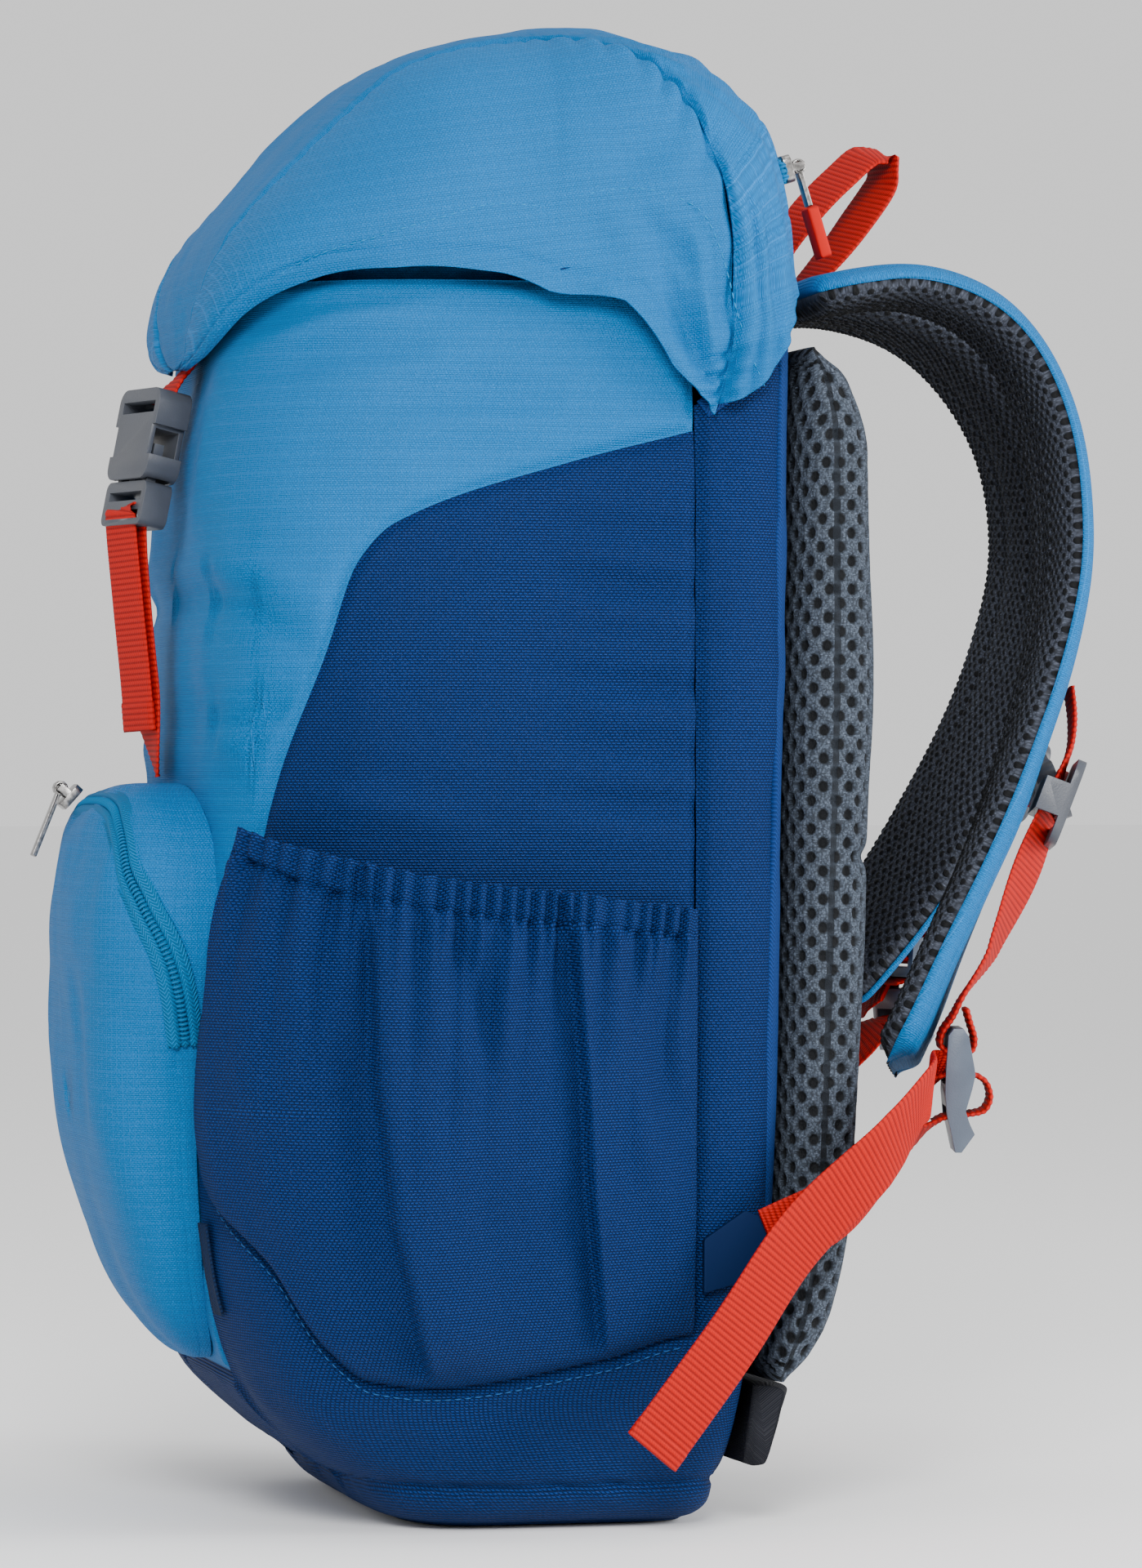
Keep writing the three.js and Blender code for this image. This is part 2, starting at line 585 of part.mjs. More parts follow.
const wide = () => vec(1, 0, 0);
const turned = (degrees) => vec(Math.cos(rad(degrees)), Math.sin(rad(degrees)), 0);

// Webbing that leaves the lid's tip, turns round the socket's bar and comes back under itself.
function lidTab() {
  const path = route([[0, -112.4, 341], [0, -113.4, 334], [0, -117.4, 328.6], [0, -121, 327.2]]);
  return ribbon(path, (t) => turned(BUCKLE.turn * Math.max(0, 2 * t - 1)), WEBBING - 3, 1.6, 4);
}

// The sewn layer of the front strap, from its seam up to the ladder bar.
const FRONT_WEB = 1.4;
const FRONT_FOOT = { y: -123.6, z: 215, turn: -10 }; // where the strap leaves its seam, and its turn there

function frontWebbing() {
  const path = route([[0, FRONT_FOOT.y, FRONT_FOOT.z], [0, -127.2, 236], [0, -129.9, 262], [0, -131.4, 284]]);
  const turn = smooth([[0, FRONT_FOOT.turn], [0.3, BUCKLE.turn], [1, BUCKLE.turn]]);
  return ribbon(path, (t) => turned(turn(t)), WEBBING, FRONT_WEB, 8);
}

// The free end of that strap lies over the sewn layer, with its last centimetre folded and sewn.
function frontTail() {
  const path = route([[0, -133.6, 284], [0, -132.1, 262], [0, -130, 241], [0, -128.7, 226]]);
  const hem = box(WEBBING, 2.2, 7).rotateZ(rad(BUCKLE.turn)).translate(0, -129.1, 229.4);
  return join(ribbon(path, () => turned(BUCKLE.turn), WEBBING, FRONT_WEB, 5), hem);
}

// ---------------------------------------------------------------- zip sliders
// A slider lies on its coil: +Z away from the zip, X along it. Its bail is a bar along X.
const BAIL = { height: 5.2, bar: 0.8, eye: 2.2, hole: 1.35 };
const alongX = (radius, length) => new THREE.CylinderGeometry(radius, radius, length, 10).rotateZ(Math.PI / 2);

function zipSlider() {
  const body = plate(10, 8, 2.4, 2).rotateX(Math.PI / 2).translate(0, 0, 1.4);
  const posts = [-1, 1].map((s) => box(1.4, 2.2, 3.9, s * 3.7, 0, 4.1));
  return join(body, ...posts, alongX(BAIL.bar, 7.4).translate(0, 0, BAIL.height));
}

// The puller hangs along -Z from the bar, which passes through its eye.
function zipPuller(length) {
  const strip = box(4.4, 1.4, length, 0, 0, -length / 2);
  return cut(join(alongX(BAIL.eye, 4.4), strip), alongX(BAIL.hole, 6));
}

function pullTab(from, length) {
  const path = (t) => vec(0, 0, -from - t * length);
  return ribbon(path, wide, 8, 3.4, 2);
}

// Places a slider on a zip, `lift` above a surface point, and its puller on the slider's bail.
function addZipPull(name, { point, normal }, lift, drop, length) {
  const slider = new THREE.Group();
  slider.position.copy(point).addScaledVector(normal, lift);
  slider.rotation.x = Math.atan2(-normal.y, normal.z);
  pack.add(slider);
  add(`${name}_zip_slider`, zipSlider(), steel, slider);
  const pull = new THREE.Group();
  pull.position.copy(point).addScaledVector(normal, lift + BAIL.height);
  pull.rotation.x = rad(drop);
  pack.add(pull);
  add(`${name}_zip_puller`, zipPuller(length), steel, pull);
  return pull;
}

// ---------------------------------------------------------------- back of the pack
// A pad's cover is a tray of thick spacer mesh, open towards the back panel.
const PAD = { x: 61, half: 32, wall: 3.5, seat: 0.8 };
const padOut = smooth([[42, 12], [60, 20], [110, 24], [225, 27], [305, 24], [325, 17], [334, 8]]);

function padRings(side, heights, inset, floor) {
  return heights.map((z) =>
    Array.from({ length: 12 }, (_, i) => {
      const a = (2 * Math.PI * i) / 12;
      const x = PAD.x + (PAD.half - inset) * Math.sign(Math.cos(a)) * Math.abs(Math.cos(a)) ** 0.7;
      const share = Math.sign(Math.sin(a)) * Math.abs(Math.sin(a)) ** 0.6;
      const low = backY(z) + PAD.seat - floor;
      const high = backY(z) + PAD.seat + padOut(z) - inset;
      return vec(side * x, lerp(low, high, (share + 1) / 2), z);
    }));
}

function backPad(side) {
  const outer = loft(padRings(side, [42, 50, 66, 90, 130, 180, 225, 270, 300, 318, 328, 334], 0, 0));
  return cut(outer, loft(padRings(side, [48, 66, 90, 130, 180, 225, 270, 300, 320], PAD.wall, 14)));
}

// Black cuff sewn across the foot of the back.
function backCuff() {
  const rings = [-86, -70, 0, 70, 86].map((x) => {
    const short = Math.abs(x) > 80 ? 0.72 : 1;
    return [vec(x, 29.8, 18), vec(x, 31 + 7 * short, 17.5), vec(x, 34.2 + 13 * short, 37), vec(x, 34.4, 40)];
  });
  return loft(rings);
}

function backBinding(side) {
  const path = (t) => {
    const z = lerp(58, 338, t);
    const { point, normal } = bodySurface(side * 2, z);
    return point.addScaledVector(normal, 2.1);
  };
  return ribbon(path, (t) => bodySurface(side * 2, lerp(58, 338, t)).normal, 3.4, 5, 14);
}

// ---------------------------------------------------------------- shoulder harness
// Each strap follows its centreline from the back panel down to its tip.
const STRAP_T = 9;
const HARNESS = {
  right: {
    side: 1,
    points: [[47, 57, 352], [47, 68, 354.5], [47, 88, 357], [49, 110, 350], [50, 126, 333], [52, 135, 306],
      [54, 136.5, 279], [56, 132, 251], [58, 123, 222], [60.5, 111, 192], [63.5, 97, 163], [66, 87, 141],
      [66.5, 80, 128]],
    lock: [67, 99, 122],
    anchor: [104.5, 22, 79],
  },
  left: {
    side: -1,
    points: [[-47, 57, 352], [-47, 69, 355.5], [-47, 90, 358.5], [-49, 116, 353.5], [-51, 139, 338],
      [-52, 156, 309], [-53, 159.5, 281], [-55, 155.5, 256], [-57, 147, 230], [-60, 134.5, 204], [-63.5, 120, 178],
      [-66, 103, 156], [-67, 94, 145]],
    lock: [-67, 121, 145],
    anchor: [-104.5, 22, 79],
  },
};
const strapWidth = smooth([[0, 46], [0.1, 54], [0.5, 56], [0.8, 50], [0.94, 42], [1, 26]]);
// The straps' outer edges turn this far towards the bag, in degrees, more and more towards the tip.
const strapTurn = smooth([[0, 5], [0.45, 6], [0.7, 13], [0.85, 20], [1, 28]]);

function strapFrame({ side, points }) {
  const path = route(points);
  const ahead = (t) => path(Math.min(t + 0.01, 1)).sub(path(Math.max(t - 0.01, 0))).normalize();
  const across = (t) => {
    const level = turned(-side * strapTurn(t));
    return level.addScaledVector(ahead(t), -level.dot(ahead(t))).normalize();
  };
  const face = (t) => ahead(t).cross(across(t)).negate(); // away from the wearer's shoulder blades
  return { path, across, face };
}

// A layer of the strap from `under` to `over`, measured outwards from its centreline.
function strapLayer(harness, under, over, trim, steps) {
  const { path, across, face } = strapFrame(harness);
  const rings = [];
  for (let i = 0; i <= steps; i += 1) {
    const t = i / steps;
    const half = (strapWidth(t) - trim) / 2;
    const corner = (a, b) => path(t).addScaledVector(across(t), a * half).addScaledVector(face(t), b);
    rings.push([corner(-1, under), corner(1, under), corner(1, over), corner(-1, over)]);
  }
  return loft(rings);
}

// The red rail sewn down the strap's face stands clear of it where the sternum slider runs,
// and leaves it at the bottom for the top bar of the ladder lock.
const RAIL_TOP = 0.615;
const RAIL_FOOT = 0.83;
const railLift = smooth([[RAIL_TOP, 0.6], [0.655, 5.6], [RAIL_FOOT, 5.6]]);
const RAIL_SEAT = STRAP_T / 2 + 4 * GAP + WEB_T / 2;

function railPoint(harness, t) {
  const { path, face } = strapFrame(harness);
  return path(t).addScaledVector(face(t), RAIL_SEAT + railLift(t));
}

function strapRail(harness) {
  const { across, face } = strapFrame(harness);
  const steps = 12;
  const ring = (centre, along, out) =>
    [[-1, -1], [1, -1], [1, 1], [-1, 1]].map(([a, b]) =>
      centre.clone().addScaledVector(along, (a * WEBBING) / 2).addScaledVector(out, (b * WEB_T) / 2));
  const rings = [];
  for (let i = 0; i <= steps; i += 1) {
    const t = lerp(RAIL_TOP, RAIL_FOOT, i / steps);
    rings.push(ring(railPoint(harness, t), across(t), face(t)));
  }
  const [x, y, z] = harness.lock;
  const along = turned(-harness.side * LOCK.turn);
  const out = vec(0, 0, 1).cross(along);
  rings.push(ring(vec(x, y + 1.6, z + LOCK.top + 8), along, out));
  rings.push(ring(vec(x, y + 0.4, z + LOCK.top + 0.9), along, out));
  return loft(rings);
}

// Ladder lock: a bowed body with three slots between bars that run across, and a lever below.
const LOCK = { width: 25, top: 18.4, bar: 3, slot: 1.9, turn: 13 };
const LOCK_SLOTS = [11, 4.2, -6];
const LOCK_PROFILE = [[-1.2, -17.2], [0.6, -17.2], [4.4, -12], [3, -9], [1.8, -5.4], [3.7, 1], [4.6, 5], [4.3, 7.4],
  [2.7, 16.2], [1.2, LOCK.top], [-1.6, LOCK.top], [-3.1, 16.4], [-3.8, 7], [-4.1, 0], [-3.5, -7], [-2.7, -10]];

function ladderLock() {
  const profile = new THREE.Shape(LOCK_PROFILE.map((p) => new THREE.Vector2(...p)));
  const body = new THREE.ExtrudeGeometry(profile, { depth: LOCK.width, bevelEnabled: false });
  const upright = new THREE.Matrix4().makeBasis(vec(0, 1, 0), vec(0, 0, 1), vec(1, 0, 0));
  body.translate(0, 0, -LOCK.width / 2).applyMatrix4(upright);
  const inside = LOCK.width - 2 * LOCK.bar;
  return cut(body, ...LOCK_SLOTS.map((z) => box(inside, 20, 2 * LOCK.slot, 0, 0, z)));
}

const LOCK_LEAN = Math.tan(rad(LOCK.turn));

// Webbing from the ladder lock to the triangular tab, turning a quarter on its way.
function lowerWebbing({ side, lock, anchor }) {
  const [x, y, z] = lock;
  const toAnchor = (u, v) => [lerp(y, anchor[1], u), lerp(z, anchor[2], v)];
  const path = route([[x, y - 7, z - 9], [x + side, y - 14, z - 14], [x + side * 18, ...toAnchor(0.36, 0.46)],
    [side * 102, ...toAnchor(0.6, 0.72)], [side * 107.4, ...toAnchor(0.86, 0.92)]]);
  const across = (t) => vec(1 - t, -side * lerp(LOCK_LEAN, 0.35, t), side * t).normalize();
  return ribbon(path, across, WEBBING - 1, WEB_T, 10);
}

// The free end of the same webbing, hanging down past the side pocket.
function strapTail({ side, lock }) {
  const [x, y, z] = lock;
  const path = route([[x + side * 4, y - 9, z + 3], [side * 93, y - 16, z + 1],
    [side * 109, lerp(y, 40, 0.6), lerp(z, 84, 0.45)], [side * 112.5, 40, 84], [side * 115, 20, 56],
    [side * 117, -4, 25]]);
  const across = (t) => {
    const turn = Math.min(t * 2.2, 1);
    return vec(lerp(1, 0.15, turn), -side * LOCK_LEAN * (1 - turn), side * lerp(0.2, 1, t)).normalize();
  };
  return ribbon(path, across, WEBBING - 1, WEB_T, 12);
}

// Triangular tab of canvas that takes the lower webbing's load into the side seam.
function anchorTab({ side, anchor }) {
  const [x, y, z] = anchor;
  const shape = new THREE.Shape([[-8, -11], [11, -6], [11, 9], [4, 12], [-8, 4]].map((p) => new THREE.Vector2(...p)));
  const made = new THREE.ExtrudeGeometry(shape, { depth: 2.4, bevelEnabled: false });
  return made.rotateX(Math.PI / 2).rotateZ(Math.PI / 2).translate(x - 1.2, y, z);
}

// Sternum slider: a plate outside the rail and a bar behind it, joined at both sides.
function sternumSlider() {
  const outer = plate(28, 26, 2.6, 5, [[0, -6, 10, 1.8]]).translate(0, 3.5, 0);
  const inner = box(28, 2, 10, 0, -3.8, 0);
  const sides = [-1, 1].map((s) => box(2, 9.2, 10, s * 13, -0.2, 0));
  return join(outer, inner, ...sides);
}

const SLIDER_AT = { right: 0.7, left: 0.705 }; // place of each slider along its strap
const slideAxis = vec(0, -0.37, -0.929).normalize();

function placeOnRail(geometry, harness, t) {
  const lean = Math.atan2(-slideAxis.y, -slideAxis.z);
  const at = railPoint(harness, t);
  return geometry.rotateZ(-harness.side * rad(strapTurn(t))).rotateX(-lean).translate(at.x, at.y, at.z);
}

// The sternum buckle, with its strap along X: the socket on -X, the prongs on +X.
function sternumSocket() {
  const shell = plate(23, 19, 8.6, 4).translate(-9.6, 0, 0);
  return cut(shell, box(14, 5.8, 15, -4, 0, 0));
}

function sternumProngs() {
  const block = plate(17, 18, 6.4, 3).translate(12.6, 0, 0);
  const arms = [-1, 1].map((s) => box(14, 3, 3, -1.6, 0, s * 5.4));
  return join(block, ...arms);
}

// ---------------------------------------------------------------- haul loop
const HAUL = { y: 56.5, z: 350 };

function haulLoop() {
  const path = route([[0, HAUL.y, HAUL.z + 3.4], [0, 62, 366], [0, 70.5, 379.5], [0, 82, 391.5], [0, 91, 398.6],
    [0, 96, 398], [0, 95.5, 391.5], [0, 87, 378], [0, 74, 362], [0, HAUL.y + 4, HAUL.z]]);
  const lean = smooth([[0, 0], [0.25, 1], [0.75, 1], [1, 0]]);
  const across = (t) => vec(1, 0.16 * lean(t), -0.32 * lean(t)).normalize();
  return join(ribbon(path, across, WEBBING, 2.4, 26), box(WEBBING, 7, 5, 0, HAUL.y + 2, HAUL.z + 1.4));
}

// ---------------------------------------------------------------- assembly
const pack = new THREE.Group();
pack.position.y = FRAME_SHIFT_Y;
const materials = new Map();

function finish(color, roughness, metalness = 0) {
  const key = [color, roughness, metalness].join();
  if (!materials.has(key)) materials.set(key, new THREE.MeshStandardMaterial({ color, roughness, metalness }));
  return materials.get(key);
}

const ripstop = finish(CYAN, 0.7);
const canvas = finish(NAVY, 0.85);
const webbing = finish(RED, 0.8);
const plastic = finish(GREY, 0.45);
const spacer = finish(MESH_GREY, 0.95);
const steel = finish(METAL, 0.35, 0.9);
const black = finish(BLACK, 0.8);

function add(name, geometry, material, parent = pack) {
  const mesh = new THREE.Mesh(geometry, material);
  mesh.name = name;
  parent.add(mesh);
  return mesh;
}

const SIDES = [["right", 1], ["left", -1]];

add("front_panel", frontPanel(), ripstop);
add("base_panel", basePanel(), canvas);
add("back_panel", backPanel(-FABRIC, 0.004, 51, 340, FABRIC), canvas);
add("back_foam", backPanel(-FABRIC - 4.4, 0.2, 56, 336, 3), spacer);
add("back_cuff", backCuff(), black);
add("collar", collar(), ripstop);
add("collar_hem", collarHem(), canvas);
for (const [name, side] of SIDES) {
  add(`side_panel_${name}`, sidePanel(side), canvas);
  add(`rear_gusset_${name}`, rearGusset(side), canvas);
  add(`side_pocket_${name}`, sidePocket(side), canvas);
  add(`pocket_hem_${name}`, pocketHem(side), canvas);
  add(`back_pad_${name}`, backPad(side), spacer);
  add(`back_binding_${name}`, backBinding(side), canvas);
}
add("front_pocket", frontPocket(), ripstop);
add("front_zip_tape", pocketZip(4.2, 0.9, 2 * GAP, 12, 168, 24), ripstop);
add("front_zip_coil", pocketZip(0.9, 1.2, 2 * GAP + 0.9 + 0.1, 14, 166, 24), ripstop);

add("lid_top_panel", lidTopPanel(), ripstop);
add("lid_lining", lidLining(), canvas);
add("lid_rear_band", lidRearBand(), ripstop);
add("lid_zip_tape", lidZip(3.2, 0.9, GAP, 76), ripstop);
add("lid_zip_coil", lidZip(0.7, 1.2, GAP + 0.9 + 0.1, 73), ripstop);
for (const [name, side] of SIDES) add(`lid_side_panel_${name}`, lidSidePanel(side), ripstop);

// Front buckle, both halves in one leaning frame.
const buckle = new THREE.Group();
buckle.position.set(0, BUCKLE.y, BUCKLE.z);
buckle.rotation.set(-rad(BUCKLE.lean), 0, rad(BUCKLE.turn), "ZXY");
pack.add(buckle);
add("buckle_socket", buckleFemale(), plastic, buckle);
add("buckle_prongs", buckleMale(), plastic, buckle);
add("lid_tab", lidTab(), webbing);
add("front_strap", frontWebbing(), webbing);
add("front_strap_tail", frontTail(), webbing);

// Sliders and pullers of both zips.
const LID_ZIP_X = 60;
const lidZipTurn = Math.acos((LID_ZIP_X / lidEdgeX(LID_ZIP_AT)) ** (lidPower(LID_ZIP_AT) / 2));
const lidPull = addZipPull("lid", flatAcross(lidSurface(LID_ZIP_AT, lidZipTurn)), 3.3, 17, 12);
add("lid_pull_tab", pullTab(12.4, 15), webbing, lidPull);
addZipPull("front", flatAcross(pocketSkin(rad(FRONT_ZIP_AT), rad(zipE(FRONT_ZIP_AT)))), 3.8, -22, 21.6);

add("haul_loop", haulLoop(), webbing);
for (const [name] of SIDES) {
  const harness = HARNESS[name];
  add(`strap_pad_${name}`, strapLayer(harness, -STRAP_T / 2, 1.2, 1, 30), spacer);
  add(`strap_face_${name}`, strapLayer(harness, 2.6, STRAP_T / 2, 0, 30), ripstop);
  add(`strap_rail_${name}`, strapRail(harness), webbing);
  const lock = add(`ladder_lock_${name}`, ladderLock(), plastic);
  lock.position.fromArray(harness.lock);
  lock.rotation.z = -harness.side * rad(LOCK.turn);
  add(`lower_webbing_${name}`, lowerWebbing(harness), webbing);
  add(`strap_tail_${name}`, strapTail(harness), webbing);
  add(`anchor_tab_${name}`, anchorTab(harness), canvas);
  add(`sternum_slider_${name}`, placeOnRail(sternumSlider(), harness, SLIDER_AT[name]), plastic);
}

// The sternum strap: a web from each slider to a side-release buckle between them.
const sternumEnds = SIDES.map(([name]) => railPoint(HARNESS[name], SLIDER_AT[name]));
const sternumMiddle = sternumEnds[0].clone().add(sternumEnds[1]).multiplyScalar(0.5);
const sternumTurn = sternumEnds[0].clone().sub(sternumEnds[1]).normalize();
const sternumLift = vec(0, 4.8, 0); // the web lies this far out from the rails
for (const [i, [name, side]] of SIDES.entries()) {
  const path = (t) => sternumMiddle.clone().addScaledVector(sternumTurn, side * lerp(42, 21.8, t)).add(sternumLift);
  add(`sternum_web_${name}`, ribbon(path, () => slideAxis, 15, WEB_T, 3), webbing);
}
const clasp = new THREE.Group();
clasp.position.copy(sternumMiddle).add(sternumLift);
clasp.rotation.z = Math.atan2(sternumTurn.y, sternumTurn.x);
clasp.rotation.x = Math.atan2(slideAxis.y, slideAxis.z) - Math.PI;
pack.add(clasp);
add("sternum_socket", sternumSocket(), plastic, clasp);
add("sternum_prongs", sternumProngs(), plastic, clasp);

export default pack;
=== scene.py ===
"""The looks of a child's lidded daypack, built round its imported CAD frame.

Shapes are worked out in millimetres in the design's own axes, the same formulas as in the CAD source,
and turned into metres of the row frame when a mesh is made. +Z is up, the wearer's back is towards +Y.
"""

import math

import bpy
import numpy as np
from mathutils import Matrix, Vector


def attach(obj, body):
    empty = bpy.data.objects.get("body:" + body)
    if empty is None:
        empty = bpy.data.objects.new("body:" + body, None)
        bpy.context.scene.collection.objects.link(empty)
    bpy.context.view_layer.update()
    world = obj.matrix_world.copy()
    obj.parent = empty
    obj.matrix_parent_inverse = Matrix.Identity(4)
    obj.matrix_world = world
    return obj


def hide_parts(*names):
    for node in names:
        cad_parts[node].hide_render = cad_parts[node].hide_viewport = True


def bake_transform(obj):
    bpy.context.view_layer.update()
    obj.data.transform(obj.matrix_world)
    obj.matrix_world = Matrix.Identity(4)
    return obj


MM = 0.001
SHIFT_Y = -5.335  # from the design's axes to the row frame
PI = math.pi
SIDES = ((1, "right"), (-1, "left"))  # the wearer's right is +X


# ---------------------------------------------------------------- small maths
def lerp(a, b, t):
    return a + (b - a) * t


def unit(v):
    return v / np.maximum(np.linalg.norm(v, axis=-1, keepdims=True), 1e-9)


def signed_power(value, power):
    return np.sign(value) * np.abs(value) ** power


def dip(distance, width):
    """1 at distance 0, falling smoothly to 0 over about twice the width."""
    return np.exp(-((distance / width) ** 2))


def step(low, high, value):
    """Rises smoothly from 0 at low to 1 at high."""
    t = np.clip((value - low) / (high - low), 0, 1)
    return t * t * (3 - 2 * t)


def smooth(knots):
    """A smooth function through (input, value) knots that never overshoots them."""
    x, y = np.array(knots, float).T
    slope = np.diff(y) / np.diff(x)
    a, b = slope[:-1], slope[1:]
    inner = np.where(a * b <= 0, 0, 2 * a * b / np.where(np.abs(a + b) < 1e-12, 1, a + b))
    tangent = np.concatenate([slope[:1], inner, slope[-1:]])

    def value(at):
        at = np.clip(np.asarray(at, float), x[0], x[-1])
        i = np.clip(np.searchsorted(x, at, side="right") - 1, 0, len(x) - 2)
        h = x[i + 1] - x[i]
        t = (at - x[i]) / h
        bend = h * t * (1 - t) * ((1 - t) * tangent[i] - t * tangent[i + 1])
        return lerp(y[i], y[i + 1], t * t * (3 - 2 * t)) + bend

    return value


def route(points):
    """A smooth curve through points, for t from 0 to 1."""
    points = np.array(points, float)
    t = np.linspace(0, 1, len(points))
    axes = [smooth(np.column_stack([t, column])) for column in points.T]
    return lambda at: np.stack([axis(at) for axis in axes], axis=-1)


def noise(u, v, size, seed):
    """Smooth noise from -1 to 1 whose features are about `size` across."""
    table = np.random.default_rng(seed).uniform(-1, 1, (64, 64))
    x, y = np.asarray(u) / size, np.asarray(v) / size
    i, j = np.floor(x).astype(int), np.floor(y).astype(int)
    s, t = x - i, y - j
    s, t = s**3 * (s * (6 * s - 15) + 10), t**3 * (t * (6 * t - 15) + 10)
    near = lerp(table[i % 64, j % 64], table[(i + 1) % 64, j % 64], s)
    far = lerp(table[i % 64, (j + 1) % 64], table[(i + 1) % 64, (j + 1) % 64], s)
    return lerp(near, far, t)


def line_distance(y, z, points):
    """Signed distance from a broken line in the YZ plane, and how far along it (0 to 1)."""
    points = np.array(points, float)
    best = np.full(np.shape(y), 1e9)
    sign, along = np.zeros(np.shape(y)), np.zeros(np.shape(y))
    spans = len(points) - 1
    for i in range(spans):
        a, d = points[i], points[i + 1] - points[i]
        t = np.clip(((y - a[0]) * d[0] + (z - a[1]) * d[1]) / (d @ d), 0, 1)
        off_y, off_z = y - a[0] - t * d[0], z - a[1] - t * d[1]
        distance = np.hypot(off_y, off_z)
        nearer = distance < best
        best = np.where(nearer, distance, best)
        sign = np.where(nearer, np.sign(off_y * d[1] - off_z * d[0]), sign)
        along = np.where(nearer, (i + t) / spans, along)
    return sign * best, along


def fold(y, z, points, height, width):
    """A soft ridge (or valley, if height is below 0) along a broken line, dying out at its ends."""
    distance, along = line_distance(y, z, points)
    return height * dip(distance, width) * np.sin(PI * np.clip(along, 0.02, 0.98)) ** 0.7


def spaced(count, cluster=0.0):
    """Count + 1 values from 0 to 1, closer together near both ends as cluster nears 1."""
    t = np.linspace(0, 1, count + 1)
    return t - cluster * np.sin(2 * PI * t) / (2 * PI)


# ---------------------------------------------------------------- meshes
def make_mesh(name, points, faces, uv, material, smooth_shading=True):
    """A mesh object from points in design millimetres; uv holds one pair per point, in millimetres."""
    row = (np.asarray(points, float) + (0, SHIFT_Y, 0)) * MM
    mesh = bpy.data.meshes.new(name)
    mesh.from_pydata(row.tolist(), [], faces)
    loops = np.zeros(len(mesh.loops), np.int32)
    mesh.loops.foreach_get("vertex_index", loops)
    layer = mesh.uv_layers.new(name="weave")
    layer.data.foreach_set("uv", np.asarray(uv, np.float32)[loops].ravel())
    mesh.polygons.foreach_set("use_smooth", [smooth_shading] * len(mesh.polygons))
    mesh.materials.append(material)
    mesh.update()
    made = bpy.data.objects.new(name, mesh)
    bpy.context.scene.collection.objects.link(made)
    return made


def place(made, body, nodes, slot):
    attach(made, body)
    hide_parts(*nodes)
    return made


def normals_of(points, wrap=False):
    """Outward normals of a grid of points whose columns run to the left hand of its rows."""
    if wrap:
        around = np.roll(points, -1, 1) - np.roll(points, 1, 1)
    else:
        around = np.gradient(points, axis=1)
    return unit(np.cross(around, np.gradient(points, axis=0)))


def grid_lengths(points):
    """Arc lengths along the rows and the columns, measured from the middle."""
    across = np.cumsum(np.linalg.norm(np.diff(points, axis=1, prepend=points[:, :1]), axis=2), axis=1)
    up = np.cumsum(np.linalg.norm(np.diff(points, axis=0, prepend=points[:1]), axis=2), axis=0)
    rows, columns = points.shape[:2]
    return across - across[:, columns // 2 : columns // 2 + 1], up - up[rows // 2 : rows // 2 + 1]


def cloth(name, outer, material, uv=None, thick=1.0, wrap=False, inner=None):
    """A closed sheet whose outer face is a grid of points, [row][column]."""
    rows, columns = outer.shape[:2]
    if inner is None:
        inner = outer - normals_of(outer, wrap) * thick
    if uv is None:
        uv = grid_lengths(outer)
    flat_uv = np.stack([np.broadcast_to(a, (rows, columns)).ravel() for a in uv], axis=1)
    points = np.concatenate([outer.reshape(-1, 3), inner.reshape(-1, 3)])
    top = np.arange(rows * columns).reshape(rows, columns)
    under = top + rows * columns
    if wrap:
        top, under = np.hstack([top, top[:, :1]]), np.hstack([under, under[:, :1]])

    def quads(a, b, c, d):
        return np.stack([x.ravel() for x in (a, b, c, d)], axis=1)

    faces = [
        quads(top[:-1, :-1], top[:-1, 1:], top[1:, 1:], top[1:, :-1]),
        quads(under[1:, :-1], under[1:, 1:], under[:-1, 1:], under[:-1, :-1]),
        quads(top[0, 1:], top[0, :-1], under[0, :-1], under[0, 1:]),
        quads(under[-1, 1:], under[-1, :-1], top[-1, :-1], top[-1, 1:]),
    ]
    if not wrap:
        faces.append(quads(top[:-1, 0], top[1:, 0], under[1:, 0], under[:-1, 0]))
        faces.append(quads(under[:-1, -1], under[1:, -1], top[1:, -1], top[:-1, -1]))
    return make_mesh(name, points, np.concatenate(faces).tolist(), np.vstack([flat_uv] * 2), material)


def rings_mesh(name, rings, material, uv):
    """A closed solid through rings of points, [ring][point], with flat ends."""
    count, around = rings.shape[:2]
    index = np.arange(count * around).reshape(count, around)
    ahead = np.roll(index, -1, 1)
    sides = np.stack([index[:-1], ahead[:-1], ahead[1:], index[1:]], axis=-1).reshape(-1, 4).tolist()
    faces = [*sides, index[0][::-1].tolist(), index[-1].tolist()]
    return make_mesh(name, rings.reshape(-1, 3), faces, uv.reshape(-1, 2), material)


def join(name, pieces):
    """Joins mesh objects into one."""
    with bpy.context.temp_override(active_object=pieces[0], selected_editable_objects=pieces):
        bpy.ops.object.join()
    pieces[0].name = name
    pieces[0].data.name = name
    return pieces[0]


